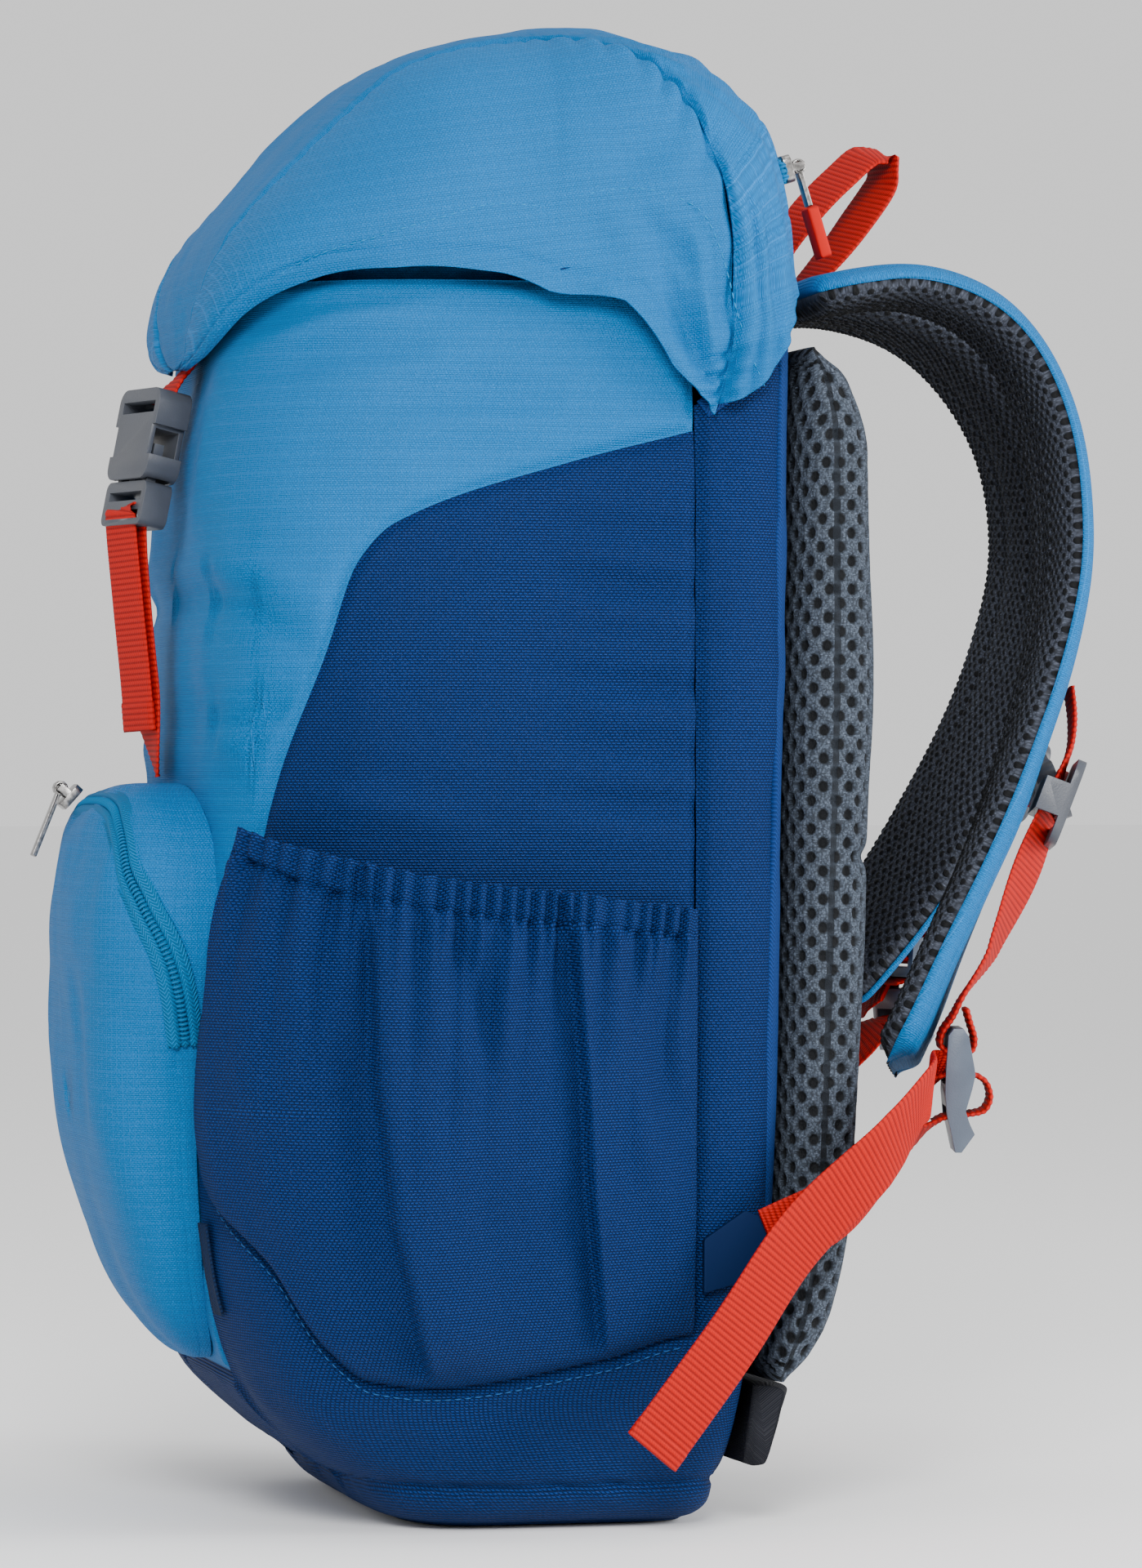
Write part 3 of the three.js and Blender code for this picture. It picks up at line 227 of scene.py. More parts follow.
# ---------------------------------------------------------------- ribbons
class Path:
    """Evenly spaced places along a curve, each with its direction, width direction and face direction."""

    def __init__(self, curve, across, spacing, start=0.0, end=1.0):
        t = np.linspace(start, end, 1500)
        points = curve(t)
        lengths = np.linalg.norm(np.diff(points, axis=0), axis=1)
        travelled = np.concatenate([[0], np.cumsum(lengths)])
        count = max(int(travelled[-1] / spacing), 3)
        self.s = np.linspace(0, travelled[-1], count + 1)
        self.t = np.interp(self.s, travelled, t)
        self.point = curve(self.t)
        self.ahead = unit(np.gradient(self.point, axis=0))
        side = across(self.t)
        side = side - np.sum(side * self.ahead, axis=1, keepdims=True) * self.ahead
        self.side = unit(side)
        self.face = np.cross(self.ahead, self.side)


RIB_PITCH = 1.65
RIB_HEIGHT = 0.16
WEB_SPACING = 0.42  # between the mesh's rings, four to a rib
WEB_ACROSS = np.array([-1, -0.985, -0.95, -0.86, -0.5, 0, 0.5, 0.86, 0.95, 0.985, 1])


def webbing(name, path, width, thick, material, hem=0.0):
    """Woven tape with real ribs across it; hem is the length of its folded and sewn end."""
    a = WEB_ACROSS[None, :]
    s = path.s[:, None]
    half = np.broadcast_to(np.asarray(width, float), path.s.shape)[:, None] / 2
    rib = RIB_HEIGHT * np.cos(2 * PI * s / RIB_PITCH)
    body = thick / 2 * (1 - np.abs(a) ** 14 * 0.65)
    if hem:
        folded = step(path.s[-1] - hem, path.s[-1] - hem + 0.8, s)
        body = body * (1 + 0.9 * folded)
    edge = 1 + 0.006 * np.cos(4 * PI * s / RIB_PITCH)
    height = body + rib * (1 - np.abs(a) ** 8)

    def layer(side_of, lift):
        return (
            path.point[:, None]
            + path.side[:, None] * (side_of * half * edge)[..., None]
            + path.face[:, None] * lift[..., None]
        )

    upper, lower = layer(a, height), layer(a[:, ::-1], -height)
    rings = np.concatenate([lower, upper], axis=1)
    around = np.concatenate([a[:, ::-1], a], axis=1) * half
    uv = np.stack([around, np.broadcast_to(s, around.shape)], axis=-1)
    return rings_mesh(name, rings, material, uv)


STITCH_RINGS, THREAD_SIDES = 5, 6


def stitches(name, points, outward, material, length=2.0, gap=0.9, radius=0.22):
    """A row of sewn stitches along a line of points, each a small round-ended thread."""
    points, outward = np.asarray(points, float), np.asarray(outward, float)
    spans = np.linalg.norm(np.diff(points, axis=0), axis=1)
    travelled = np.concatenate([[0], np.cumsum(spans)])
    centres = np.arange((length + gap) / 2, travelled[-1], length + gap)

    def at(s, values):
        return np.stack([np.interp(s, travelled, values[:, i]) for i in range(3)], axis=1)

    along = unit(at(centres + 0.3, points) - at(centres - 0.3, points))
    up = unit(at(centres, outward))
    side = unit(np.cross(along, up))
    centre = at(centres, points)
    corners = np.arange(THREAD_SIDES) * 2 * PI / THREAD_SIDES
    rings = []
    for place_along in np.linspace(-1, 1, STITCH_RINGS):
        thin = radius * math.sqrt(max(1 - abs(place_along) ** 3, 0.12))
        sink = (0.25 - 0.9 * place_along**2) * radius
        spoke = side[:, None] * np.cos(corners)[:, None] + up[:, None] * np.sin(corners)[:, None]
        middle = centre + along * (place_along * length / 2) + up * sink
        rings.append(middle[:, None] + spoke * thin)
    grid = np.stack(rings, axis=1)
    count = len(centres)
    index = np.arange(count * STITCH_RINGS * THREAD_SIDES).reshape(count, STITCH_RINGS, THREAD_SIDES)
    ahead = np.roll(index, -1, 2)
    sides = np.stack([index[:, :-1], index[:, 1:], ahead[:, 1:], ahead[:, :-1]], axis=-1).reshape(-1, 4)
    faces = sides.tolist() + index[:, 0].tolist() + index[:, -1, ::-1].tolist()
    uv = np.zeros((index.size, 2))
    return make_mesh(name, grid.reshape(-1, 3), faces, uv, material)


# ---------------------------------------------------------------- materials
def node(tree, kind, settings=None, **inputs):
    made = tree.nodes.new("ShaderNode" + kind)
    for key, value in (settings or {}).items():
        setattr(made, key, value)
    for key, value in inputs.items():
        socket = made.inputs[int(key[1:])] if key[1:].isdigit() else made.inputs[key.replace("_", " ")]
        if isinstance(value, bpy.types.NodeSocket):
            tree.links.new(value, socket)
        else:
            socket.default_value = value
    return made


def maths(tree, operation, a, b=0.0):
    return node(tree, "Math", {"operation": operation}, i0=a, i1=b).outputs[0]


def mix(tree, factor, a, b):
    return node(tree, "Mix", {"data_type": "RGBA"}, i0=factor, i6=a, i7=b).outputs[2]


def ramp(tree, value, low, high):
    settings = {"clamp": True}
    return node(tree, "MapRange", settings, Value=value, From_Min=low, From_Max=high).outputs[0]


def rgb(colour, share=1.0):
    return (*[min(c * share, 1.0) for c in colour], 1.0)


def start_material(name, roughness, metallic=0.0, specular=0.5):
    made = bpy.data.materials.new(name)
    made.use_nodes = True
    tree = made.node_tree
    surface = tree.nodes["Principled BSDF"]
    surface.inputs["Roughness"].default_value = roughness
    surface.inputs["Metallic"].default_value = metallic
    surface.inputs["Specular IOR Level"].default_value = specular
    return made, tree, surface


def weave_uv(tree):
    """The weave's own coordinates, in millimetres along and across the threads."""
    found = node(tree, "UVMap", {"uv_map": "weave"}).outputs[0]
    parts = node(tree, "SeparateXYZ", Vector=found)
    return found, parts.outputs[0], parts.outputs[1]


def scaled(tree, vector, size):
    return node(tree, "VectorMath", {"operation": "MULTIPLY"}, i0=vector, i1=size).outputs[0]


def bump(tree, surface, height, distance, strength=1.0):
    made = node(tree, "Bump", Height=height, Distance=distance * MM, Strength=strength)
    tree.links.new(made.outputs[0], surface.inputs["Normal"])


def object_noise(tree, size_mm, detail=2.0):
    place_of = node(tree, "TexCoord").outputs["Object"]
    return node(tree, "TexNoise", Vector=place_of, Scale=1 / (size_mm * MM), Detail=detail).outputs[0]


CLOTH_SHINE = 0.1  # white glints would wash the cloth's colour out


def thread_noise(tree, uv, across, along, detail):
    """Noise over the weave's own coordinates, with so many features a millimetre each way."""
    where = scaled(tree, uv, (across, along, 1.0))
    return node(tree, "TexNoise", Vector=where, Scale=1.0, Detail=detail).outputs[0]


def woven(name, colour, cell, roughness, depth, contrast, grid=0.0):
    """Cloth of crossed threads. cell is a thread's length and width, and grid the ripstop's pitch, in mm."""
    made, tree, surface = start_material(name, roughness, specular=CLOTH_SHINE)
    uv = weave_uv(tree)[0]
    brick = node(tree, "TexBrick", {"offset": 0.5, "squash": 1.0}, Vector=uv, Scale=1.0,
                 Mortar_Size=cell[1] * 0.42, Mortar_Smooth=1.0, Brick_Width=cell[0], Row_Height=cell[1])
    thread = maths(tree, "SUBTRACT", 1.0, brick.outputs["Fac"])
    uneven = thread_noise(tree, uv, 1.1, 2.2, 2.0)
    glint = thread_noise(tree, uv, 1.9, 3.4, 0.0)
    cloudy = object_noise(tree, 34, 3.0)
    hollow, crest = rgb(colour, 1 - contrast), rgb(colour, 1 + contrast * 0.7)
    tone = mix(tree, ramp(tree, thread, 0.0, 0.9), hollow, crest)
    tone = mix(tree, ramp(tree, uneven, 0.3, 0.75), mix(tree, 0.5, tone, rgb(colour, 0.84)), tone)
    light = rgb([lerp(c, 1.0, 0.02) for c in colour], 1.5)
    tone = mix(tree, maths(tree, "MULTIPLY", ramp(tree, glint, 0.6, 0.78), 0.55), tone, light)
    height = thread
    if grid:
        lines = node(tree, "TexBrick", {"offset": 0.0}, Vector=uv, Scale=1.0, Mortar_Size=0.13,
                     Mortar_Smooth=0.6, Brick_Width=grid, Row_Height=grid).outputs["Fac"]
        tone = mix(tree, maths(tree, "MULTIPLY", lines, 0.3), tone, light)
        height = maths(tree, "ADD", thread, maths(tree, "MULTIPLY", lines, 1.2))
    tone = mix(tree, ramp(tree, cloudy, 0.3, 0.7), mix(tree, 0.16, tone, rgb(colour, 0.55)), tone)
    tree.links.new(tone, surface.inputs["Base Color"])
    rough = ramp(tree, cloudy, 0.2, 0.8)
    rough = node(tree, "MapRange", Value=rough, To_Min=roughness - 0.08, To_Max=roughness + 0.08).outputs[0]
    tree.links.new(rough, surface.inputs["Roughness"])
    bump(tree, surface, height, depth)
    return made


def webbing_material(name, colour):
    """Tape whose ribs are in the mesh; the threads across each rib are here, and painted shade that darkens
    the valleys between the ribs.
    """
    made, tree, surface = start_material(name, 0.7, specular=0.15)
    uv, u, v = weave_uv(tree)
    phase = maths(tree, "MULTIPLY", v, 2 * PI / RIB_PITCH)
    valley = ramp(tree, maths(tree, "COSINE", phase), -0.9, 0.35)
    slant = maths(tree, "ADD", u, maths(tree, "MULTIPLY", v, 0.35))
    thread = ramp(tree, maths(tree, "SINE", maths(tree, "MULTIPLY", slant, 2 * PI / 0.9)), -1.0, 1.0)
    uneven = thread_noise(tree, uv, 0.6, 1.3, 3.0)
    # painted shade: the colour darkens to 0.42 of the red in the valleys between the mesh's ribs
    tone = mix(tree, valley, rgb(colour, 0.42), rgb(colour, 1.05))
    tone = mix(tree, maths(tree, "MULTIPLY", thread, 0.35), tone, rgb(colour, 0.7))
    tone = mix(tree, ramp(tree, uneven, 0.3, 0.7), mix(tree, 0.3, tone, rgb(colour, 0.8)), tone)
    tree.links.new(tone, surface.inputs["Base Color"])
    bump(tree, surface, thread, 0.12)
    return made


def hole_distance(tree, u, v, pitch, hole):
    """Distance from the middle of staggered oval holes, 1 at a hole's edge. Sizes are (across, along)."""
    row = maths(tree, "FLOOR", maths(tree, "DIVIDE", v, pitch[1]))
    odd = maths(tree, "MULTIPLY", maths(tree, "FLOORED_MODULO", row, 2.0), 0.5)
    column = maths(tree, "ADD", maths(tree, "DIVIDE", u, pitch[0]), odd)
    cu = maths(tree, "SUBTRACT", maths(tree, "FRACT", column), 0.5)
    cv = maths(tree, "SUBTRACT", maths(tree, "FRACT", maths(tree, "DIVIDE", v, pitch[1])), 0.5)
    cu = maths(tree, "MULTIPLY", cu, pitch[0] / hole[0] * 2)
    cv = maths(tree, "MULTIPLY", cv, pitch[1] / hole[1] * 2)
    across = maths(tree, "POWER", maths(tree, "ABSOLUTE", cu), 2.0)
    along = maths(tree, "POWER", maths(tree, "ABSOLUTE", cv), 2.0)
    return maths(tree, "SQRT", maths(tree, "ADD", across, along))


def air_mesh(name, colour, pitch, hole):
    """Spacer mesh: knitted net over oval holes, which are also dimples in the mesh object, with painted
    shade making the holes near-black.
    """
    made, tree, surface = start_material(name, 0.8, specular=0.2)
    uv, u, v = weave_uv(tree)
    distance = hole_distance(tree, u, v, pitch, hole)
    solid = ramp(tree, distance, 0.72, 1.02)
    knit = node(tree, "TexVoronoi", {"feature": "F1"}, Vector=scaled(tree, uv, (1.5, 1.1, 1.0)), Scale=1.0)
    glint = thread_noise(tree, uv, 1.4, 2.6, 1.0)
    tone = mix(tree, ramp(tree, knit.outputs["Distance"], 0.1, 0.7), rgb(colour, 1.35), rgb(colour, 0.45))
    tone = mix(tree, maths(tree, "MULTIPLY", ramp(tree, glint, 0.58, 0.75), 0.6), tone, rgb(colour, 3.2))
    # painted shade: the holes are coloured near-black
    tone = mix(tree, solid, rgb(colour, 0.06), tone)
    tree.links.new(tone, surface.inputs["Base Color"])
    height = maths(tree, "SUBTRACT", solid, maths(tree, "MULTIPLY", knit.outputs["Distance"], 0.5))
    bump(tree, surface, height, 0.5)
    return made


def moulded(name, colour, roughness=0.42):
    """Moulded nylon with a fine eroded grain and worn, slightly paler raised spots."""
    made, tree, surface = start_material(name, roughness, specular=0.45)
    grain = object_noise(tree, 0.45, 2.0)
    cloudy = object_noise(tree, 9, 3.0)
    tone = mix(tree, ramp(tree, cloudy, 0.35, 0.7), rgb(colour, 0.9), rgb(colour, 1.12))
    tree.links.new(tone, surface.inputs["Base Color"])
    rough = node(tree, "MapRange", Value=cloudy, To_Min=roughness - 0.1, To_Max=roughness + 0.12).outputs[0]
    tree.links.new(rough, surface.inputs["Roughness"])
    bump(tree, surface, grain, 0.05)
    return made


def gunmetal(name, colour):
    made, tree, surface = start_material(name, 0.32, metallic=1.0)
    cloudy = object_noise(tree, 1.2, 3.0)
    tone = mix(tree, ramp(tree, cloudy, 0.35, 0.65), rgb(colour, 0.6), rgb(colour, 1.15))
    tree.links.new(tone, surface.inputs["Base Color"])
    rough = node(tree, "MapRange", Value=cloudy, To_Min=0.22, To_Max=0.45).outputs[0]
    tree.links.new(rough, surface.inputs["Roughness"])
    bump(tree, surface, object_noise(tree, 0.3, 2.0), 0.03)
    return made


def knitted_tape(name, colour, pitch):
    """Herringbone tape: slanted threads that change side in each column."""
    made, tree, surface = start_material(name, 0.75, specular=0.15)
    uv, u, v = weave_uv(tree)
    fold_at = maths(tree, "PINGPONG", u, pitch)
    slanted = maths(tree, "ADD", maths(tree, "MULTIPLY", fold_at, 1.3), v)
    thread = ramp(tree, maths(tree, "SINE", maths(tree, "MULTIPLY", slanted, 2 * PI / 1.25)), -1.0, 1.0)
    tone = mix(tree, thread, rgb(colour, 0.62), rgb(colour, 1.22))
    glint = thread_noise(tree, uv, 2.0, 2.0, 1.0)
    tone = mix(tree, maths(tree, "MULTIPLY", ramp(tree, glint, 0.55, 0.75), 0.4), tone, rgb(colour, 1.7))
    tree.links.new(tone, surface.inputs["Base Color"])
    bump(tree, surface, thread, 0.25)
    return made


def thread_material(name, colour):
    made, tree, surface = start_material(name, 0.6, specular=0.2)
    tone = mix(tree, object_noise(tree, 0.5, 1.0), rgb(colour, 0.7), rgb(colour, 1.2))
    tree.links.new(tone, surface.inputs["Base Color"])
    bump(tree, surface, object_noise(tree, 0.3, 1.0), 0.06)
    return made


CYAN = (0.0, 0.118, 0.33)
NAVY = (0.001, 0.022, 0.112)
RED = (0.42, 0.004, 0.001)
MESH_GREY = (0.042, 0.054, 0.074)
STRAP_GREY = (0.036, 0.042, 0.058)
PLASTIC = (0.045, 0.05, 0.062)
LOCK_GREY = (0.062, 0.08, 0.112)


# ---------------------------------------------------------------- the main compartment's surface
RIM_Z = 352
front_y = smooth([(0, -62), (6, -72), (13, -80), (20, -90), (40, -109), (75, -120), (117, -124),
                  (160, -122.5), (200, -120), (255, -119), (298, -117.5), (324, -113), (RIM_Z, -107)])
back_y = smooth([(0, 20), (7, 25), (40, 33), (88, 39.5), (200, 42), (345, 45)])
half_width = smooth([(0, 68), (6, 80), (13, 87), (20, 91), (40, 98), (75, 103), (120, 105), (200, 106),
                     (290, 105), (310, 104), (335, 102), (RIM_Z, 98)])
front_power = smooth([(120, 5), (200, 4)])
BACK_POWER = 8
SIDE_SEAM_Y = 12
K_TABLE = np.linspace(0, 3, 601)
Z_TABLE = np.arange(0, RIM_Z + 1)


def section(z):
    """X and Y of the half section at height z, with each point's share of its length, and its length."""
    front, back, half = front_y(z), back_y(z), half_width(z)
    middle = lerp(front, back, 0.55)
    angle = np.linspace(0, PI, 1441)
    ahead = np.cos(angle) >= 0
    power = 2 / np.where(ahead, front_power(z), BACK_POWER)
    depth = np.where(ahead, middle - front, back - middle)
    x = half * np.abs(np.sin(angle)) ** power
    y = middle - np.sign(np.cos(angle)) * depth * np.abs(np.cos(angle)) ** power
    x[0] = x[-1] = 0
    length = np.concatenate([[0], np.cumsum(np.hypot(np.diff(x), np.diff(y)))])
    return x, y, length / length[-1], length[-1]


def k_where(z, axis, value):
    """The section coordinate k, ahead of the side seam, where x or y first passes a value."""
    x, y, share, _ = section(z)
    seam = np.interp(SIDE_SEAM_Y, y, share)
    values = x if axis == "x" else y
    first = int(np.argmax(values >= value))
    found = np.interp(value, values[first - 1 : first + 1], share[first - 1 : first + 1])
    return float(found / seam)


def build_tables():
    xs, ys, arcs = [], [], []
    for z in Z_TABLE:
        x, y, share, total = section(float(z))
        seam = np.interp(SIDE_SEAM_Y, y, share)
        edge = np.interp(back_y(z) - 4, y, share)
        s = np.interp(K_TABLE, [0, 1, 2, 3], [0, seam, edge, 1])
        xs.append(np.interp(s, share, x))
        ys.append(np.interp(s, share, y))
        arcs.append(s * total)
    return np.array(xs), np.array(ys), np.array(arcs)


X_AT, Y_AT, ARC_AT = build_tables()


def look_up(table, k, z):
    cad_, fz = np.clip(k * 200, 0, 599.999), np.clip(z, 0, RIM_Z - 0.001)
    i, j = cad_.astype(int), fz.astype(int)
    s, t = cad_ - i, fz - j
    return lerp(lerp(table[j, i], table[j, i + 1], s), lerp(table[j + 1, i], table[j + 1, i + 1], s), t)


def body_point(k, z):
    """k is 0 at the front centre, 1 at the side seam, 2 at the rear edge, 3 at the rear centre."""
    k, z = np.broadcast_arrays(np.asarray(k, float), np.asarray(z, float))
    k = np.where(k > 3, k - 6, k)
    size = np.abs(k)
    return np.stack([np.sign(k) * look_up(X_AT, size, z), look_up(Y_AT, size, z), z], axis=-1)


def body_arc(k, z):
    """Distance round the section from the front centre, in mm."""
    k, z = np.broadcast_arrays(np.asarray(k, float), np.asarray(z, float))
    past = k > 3
    arc = np.sign(k) * look_up(ARC_AT, np.where(past, 6 - k, np.abs(k)), z)
    return np.where(past, 2 * look_up(ARC_AT, np.full(k.shape, 3.0), z) - arc, arc)


def body_normal(k, z):
    around = body_point(k + 0.01, z) - body_point(k - 0.01, z)
    up = body_point(k, z + 1) - body_point(k, z - 1)
    return unit(np.cross(around, up))


def body_line(k, z):
    """Points, normals and sideways directions along a line on the compartment's wall."""
    point, normal = body_point(k, z), body_normal(k, z)
    ahead = unit(np.gradient(point, axis=0))
    return point, normal, unit(np.cross(normal, ahead))


K_TIP = k_where(117, "x", 64)
K_HEM = k_where(199, "x", 86)
panel_top = smooth([(K_TIP, 117), (k_where(163, "x", 82), 163), (K_HEM, 199), (k_where(247, "y", -93), 247),
                    (k_where(272, "y", -84.5), 272), (k_where(283.4, "y", -73.7), 283.4),
                    (k_where(300.7, "y", -24), 300.7), (1, 310)])
base_top = smooth([(k_where(45, "x", 44), 42), (K_TIP, 116.8), (k_where(100, "x", 72), 98),
                   (k_where(76, "y", -105.9), 76), (k_where(52, "y", -91.6), 54),
                   (k_where(43.3, "y", -79.7), 44.5), (k_where(42.3, "y", -62), 42.3),
                   (k_where(49.4, "y", -14), 49.4), (1, 56), (2, 50), (3, 46)])
hem_top = smooth([(K_HEM, 199), (k_where(188, "y", -75), 188), (k_where(182.5, "y", -38.6), 182.5),
                  (1, 176.5)])
gusset_top = smooth([(1, 317), (2, 340)])


def pocket_top(k):
    return np.minimum(panel_top(k), hem_top(k))


def front_bottom(k):
    return np.where(np.abs(k) < K_TIP, base_top(np.abs(k)), panel_top(np.abs(k)))


def wall(k_from, k_to, bottom, top, columns, rows, cluster=0.72):
    """A grid over the compartment's wall, with z, the distance round it, and that from its nearest edges."""
    k = lerp(k_from, k_to, spaced(columns, cluster))[None, :]
    v = spaced(rows, cluster)[:, None]
    low, high = bottom(np.abs(k)), top(np.abs(k))
    z = lerp(low, high, v)
    k = np.broadcast_to(k, z.shape)
    points = body_point(k, z)
    arc = body_arc(k, z)

    def slope(edge):
        rise = np.gradient(edge, axis=1) / np.maximum(np.abs(np.gradient(arc, axis=1)), 1e-3)
        return 1 / np.sqrt(1 + rise**2)

    ends = np.minimum((z - low) * slope(np.broadcast_to(low, z.shape)),
                      (high - z) * slope(np.broadcast_to(high, z.shape)))
    sides = np.minimum(arc - arc[:, :1], arc[:, -1:] - arc)
    return points, z, arc, ends, sides


SEAM_DEPTH = 1.7
SEAM_WIDTH = 2.1


def seam_dip(distance, depth=SEAM_DEPTH):
    return -depth * dip(distance, SEAM_WIDTH)


def wall_cloth(name, material, spans, shape, slot, nodes, columns, rows, sides_are_seams=True, thick=1.0):
    k_from, k_to, bottom, top = spans
    points, z, arc, ends, sides = wall(k_from, k_to, bottom, top, columns, rows)
    height = seam_dip(ends)
    if sides_are_seams:
        height = np.minimum(height, seam_dip(sides))
    height = height + shape(points[..., 1], z, arc, np.minimum(ends, sides)) * (1 - dip(ends, 4.0))
    outer = points + normals_of(points) * height[..., None]
    return place(cloth(name, outer, material, (arc, z), thick), "root", nodes, slot)


def front_folds(y, z, arc, edge):
    """Soft folds of the light blue front panel, below and in front of the lid's arch."""
    height = 1.6 * noise(arc, z * 0.6, 46, 3) + 0.8 * noise(arc * 0.8, z, 19, 4)
    for side in (1, -1):
        s = np.where(arc * side > 0, 1.0, 0.0)
        height = height + s * (
            fold(y, z, [(-110, 333), (-88, 340), (-58, 345)], 2.4, 4.0)
            + fold(y, z, [(-112, 326), (-88, 331), (-60, 334)], -2.3, 5.0)
            + fold(y, z, [(-124, 267), (-110, 259), (-90, 243)], -2.6, 5.0)
            + fold(y, z, [(-121, 276), (-106, 268), (-84, 254)], 2.2, 6.0)
            + fold(y, z, [(-119, 228), (-108, 230), (-94, 236)], -2.4, 4.5)
            + fold(y, z, [(-118, 221), (-107, 220), (-90, 224)], 2.0, 5.0)
            + fold(y, z, [(-80, 318), (-52, 321), (-24, 318)], -2.4, 6.0)
            + fold(y, z, [(-78, 308), (-48, 311), (-22, 309)], 1.9, 4.5)
            + fold(y, z, [(-108, 200), (-104, 180), (-98, 160)], 1.0, 5.0)
        )
    return height


def side_folds(y, z, arc, edge):
    """Puckers that run in from the side seam, and the fold above the pocket's hem."""
    height = 0.8 * noise(y, z * 0.7, 40, 7) + 0.35 * noise(y, z, 15, 8)
    for at, size in ((281, 0.9), (265, 1.3), (238, 1.6), (219, 1.0), (204, 1.1)):
        height = height + fold(y, z, [(14, at), (-6, at + 1), (-34, at + 4)], -1.7 * size, 3.6)
        height = height + fold(y, z, [(14, at - 8), (-4, at - 7.5), (-28, at - 6)], size * 1.5, 4.4)
    height = height + fold(y, z, [(-100, 206), (-80, 204), (-50, 198)], 1.4, 5.0)
    height = height + fold(y, z, [(-98, 214), (-78, 213), (-50, 208)], -0.8, 5.0)
    return height + 1.6 * dip(y + 50, 45) * step(0, 25, edge)


def gusset_folds(y, z, arc, edge):
    height = 0.7 * noise(arc * 1.6, z * 0.5, 24, 11) + 0.35 * noise(arc, z, 9, 12)
    return height + 1.0 * step(0, 9, edge)


BOTTOM_SEAM_Z = 12.5


def base_cloth(material):
    """The base: its wall from the lower seams to the ground, then its underside, in one sheet."""
    k = np.linspace(-3, 3, 561)[None, :-1]
    top = base_top(np.abs(k))
    v = spaced(64, 0.8)[:, None]
    z = lerp(0.0, top, v)
    k = np.broadcast_to(k, z.shape)
    points = body_point(k, z)
    arc = body_arc(k, z)
    run = np.maximum(np.abs(np.gradient(arc, axis=1)), 1e-3)
    rise = np.gradient(np.broadcast_to(top, z.shape), axis=1) / run
    edge = (top - z) / np.sqrt(1 + rise**2)
    pucker = noise(arc, z * 0 + 2, 5.0, 21) * dip(z - BOTTOM_SEAM_Z, 5.0)
    height = seam_dip(edge) - 1.5 * dip(z - BOTTOM_SEAM_Z, 1.5) + 0.5 * pucker
    soft = 0.9 * noise(arc, z, 33, 22) + 0.4 * noise(arc, z, 13, 23)
    height = height + soft * step(0, 8, edge) * step(2, 14, z) + 1.2 * dip(z - 5, 5) * step(0, 3, z)
    normal = normals_of(points, True)
    outer = points + normal * height[..., None]
    outer[..., 2] = np.maximum(outer[..., 2], 0)
    shares = np.linspace(0.04, 0.985, 26)[:, None, None]
    centre = np.array([0, -22.0, 0])
    under = lerp(centre, outer[:1], shares)
    hollow = 1.6 * (1 - shares[..., 0] ** 6) + 0.5 * (noise(under[..., 0], under[..., 1], 22, 24) + 1) * (
        1 - shares[..., 0] ** 4)
    under[..., 2] = hollow
    whole = np.concatenate([under, outer])
    v_down = np.concatenate([under[..., 1] * 0 - np.linspace(60, 1, 26)[:, None], z])
    arc_all = np.concatenate([np.repeat(arc[:1], 26, 0), arc])
    made = cloth("base_cloth", whole, material, (arc_all, v_down), 1.0, wrap=True)
    return place(made, "root", ["base_panel"], "navy_canvas")


# ---------------------------------------------------------------- side pockets
POCKET_BULGE = 21
HEM_SHARE = 0.93
PLEATS = [
    ([(-82, 186), (-81.5, 160), (-81.5, 128), (-77, 90), (-69, 60), (-63, 42)], 5.6),
    ([(-31, 182), (-28, 168), (-25.4, 134), (-22, 97), (-14, 47)], 4.6),
]


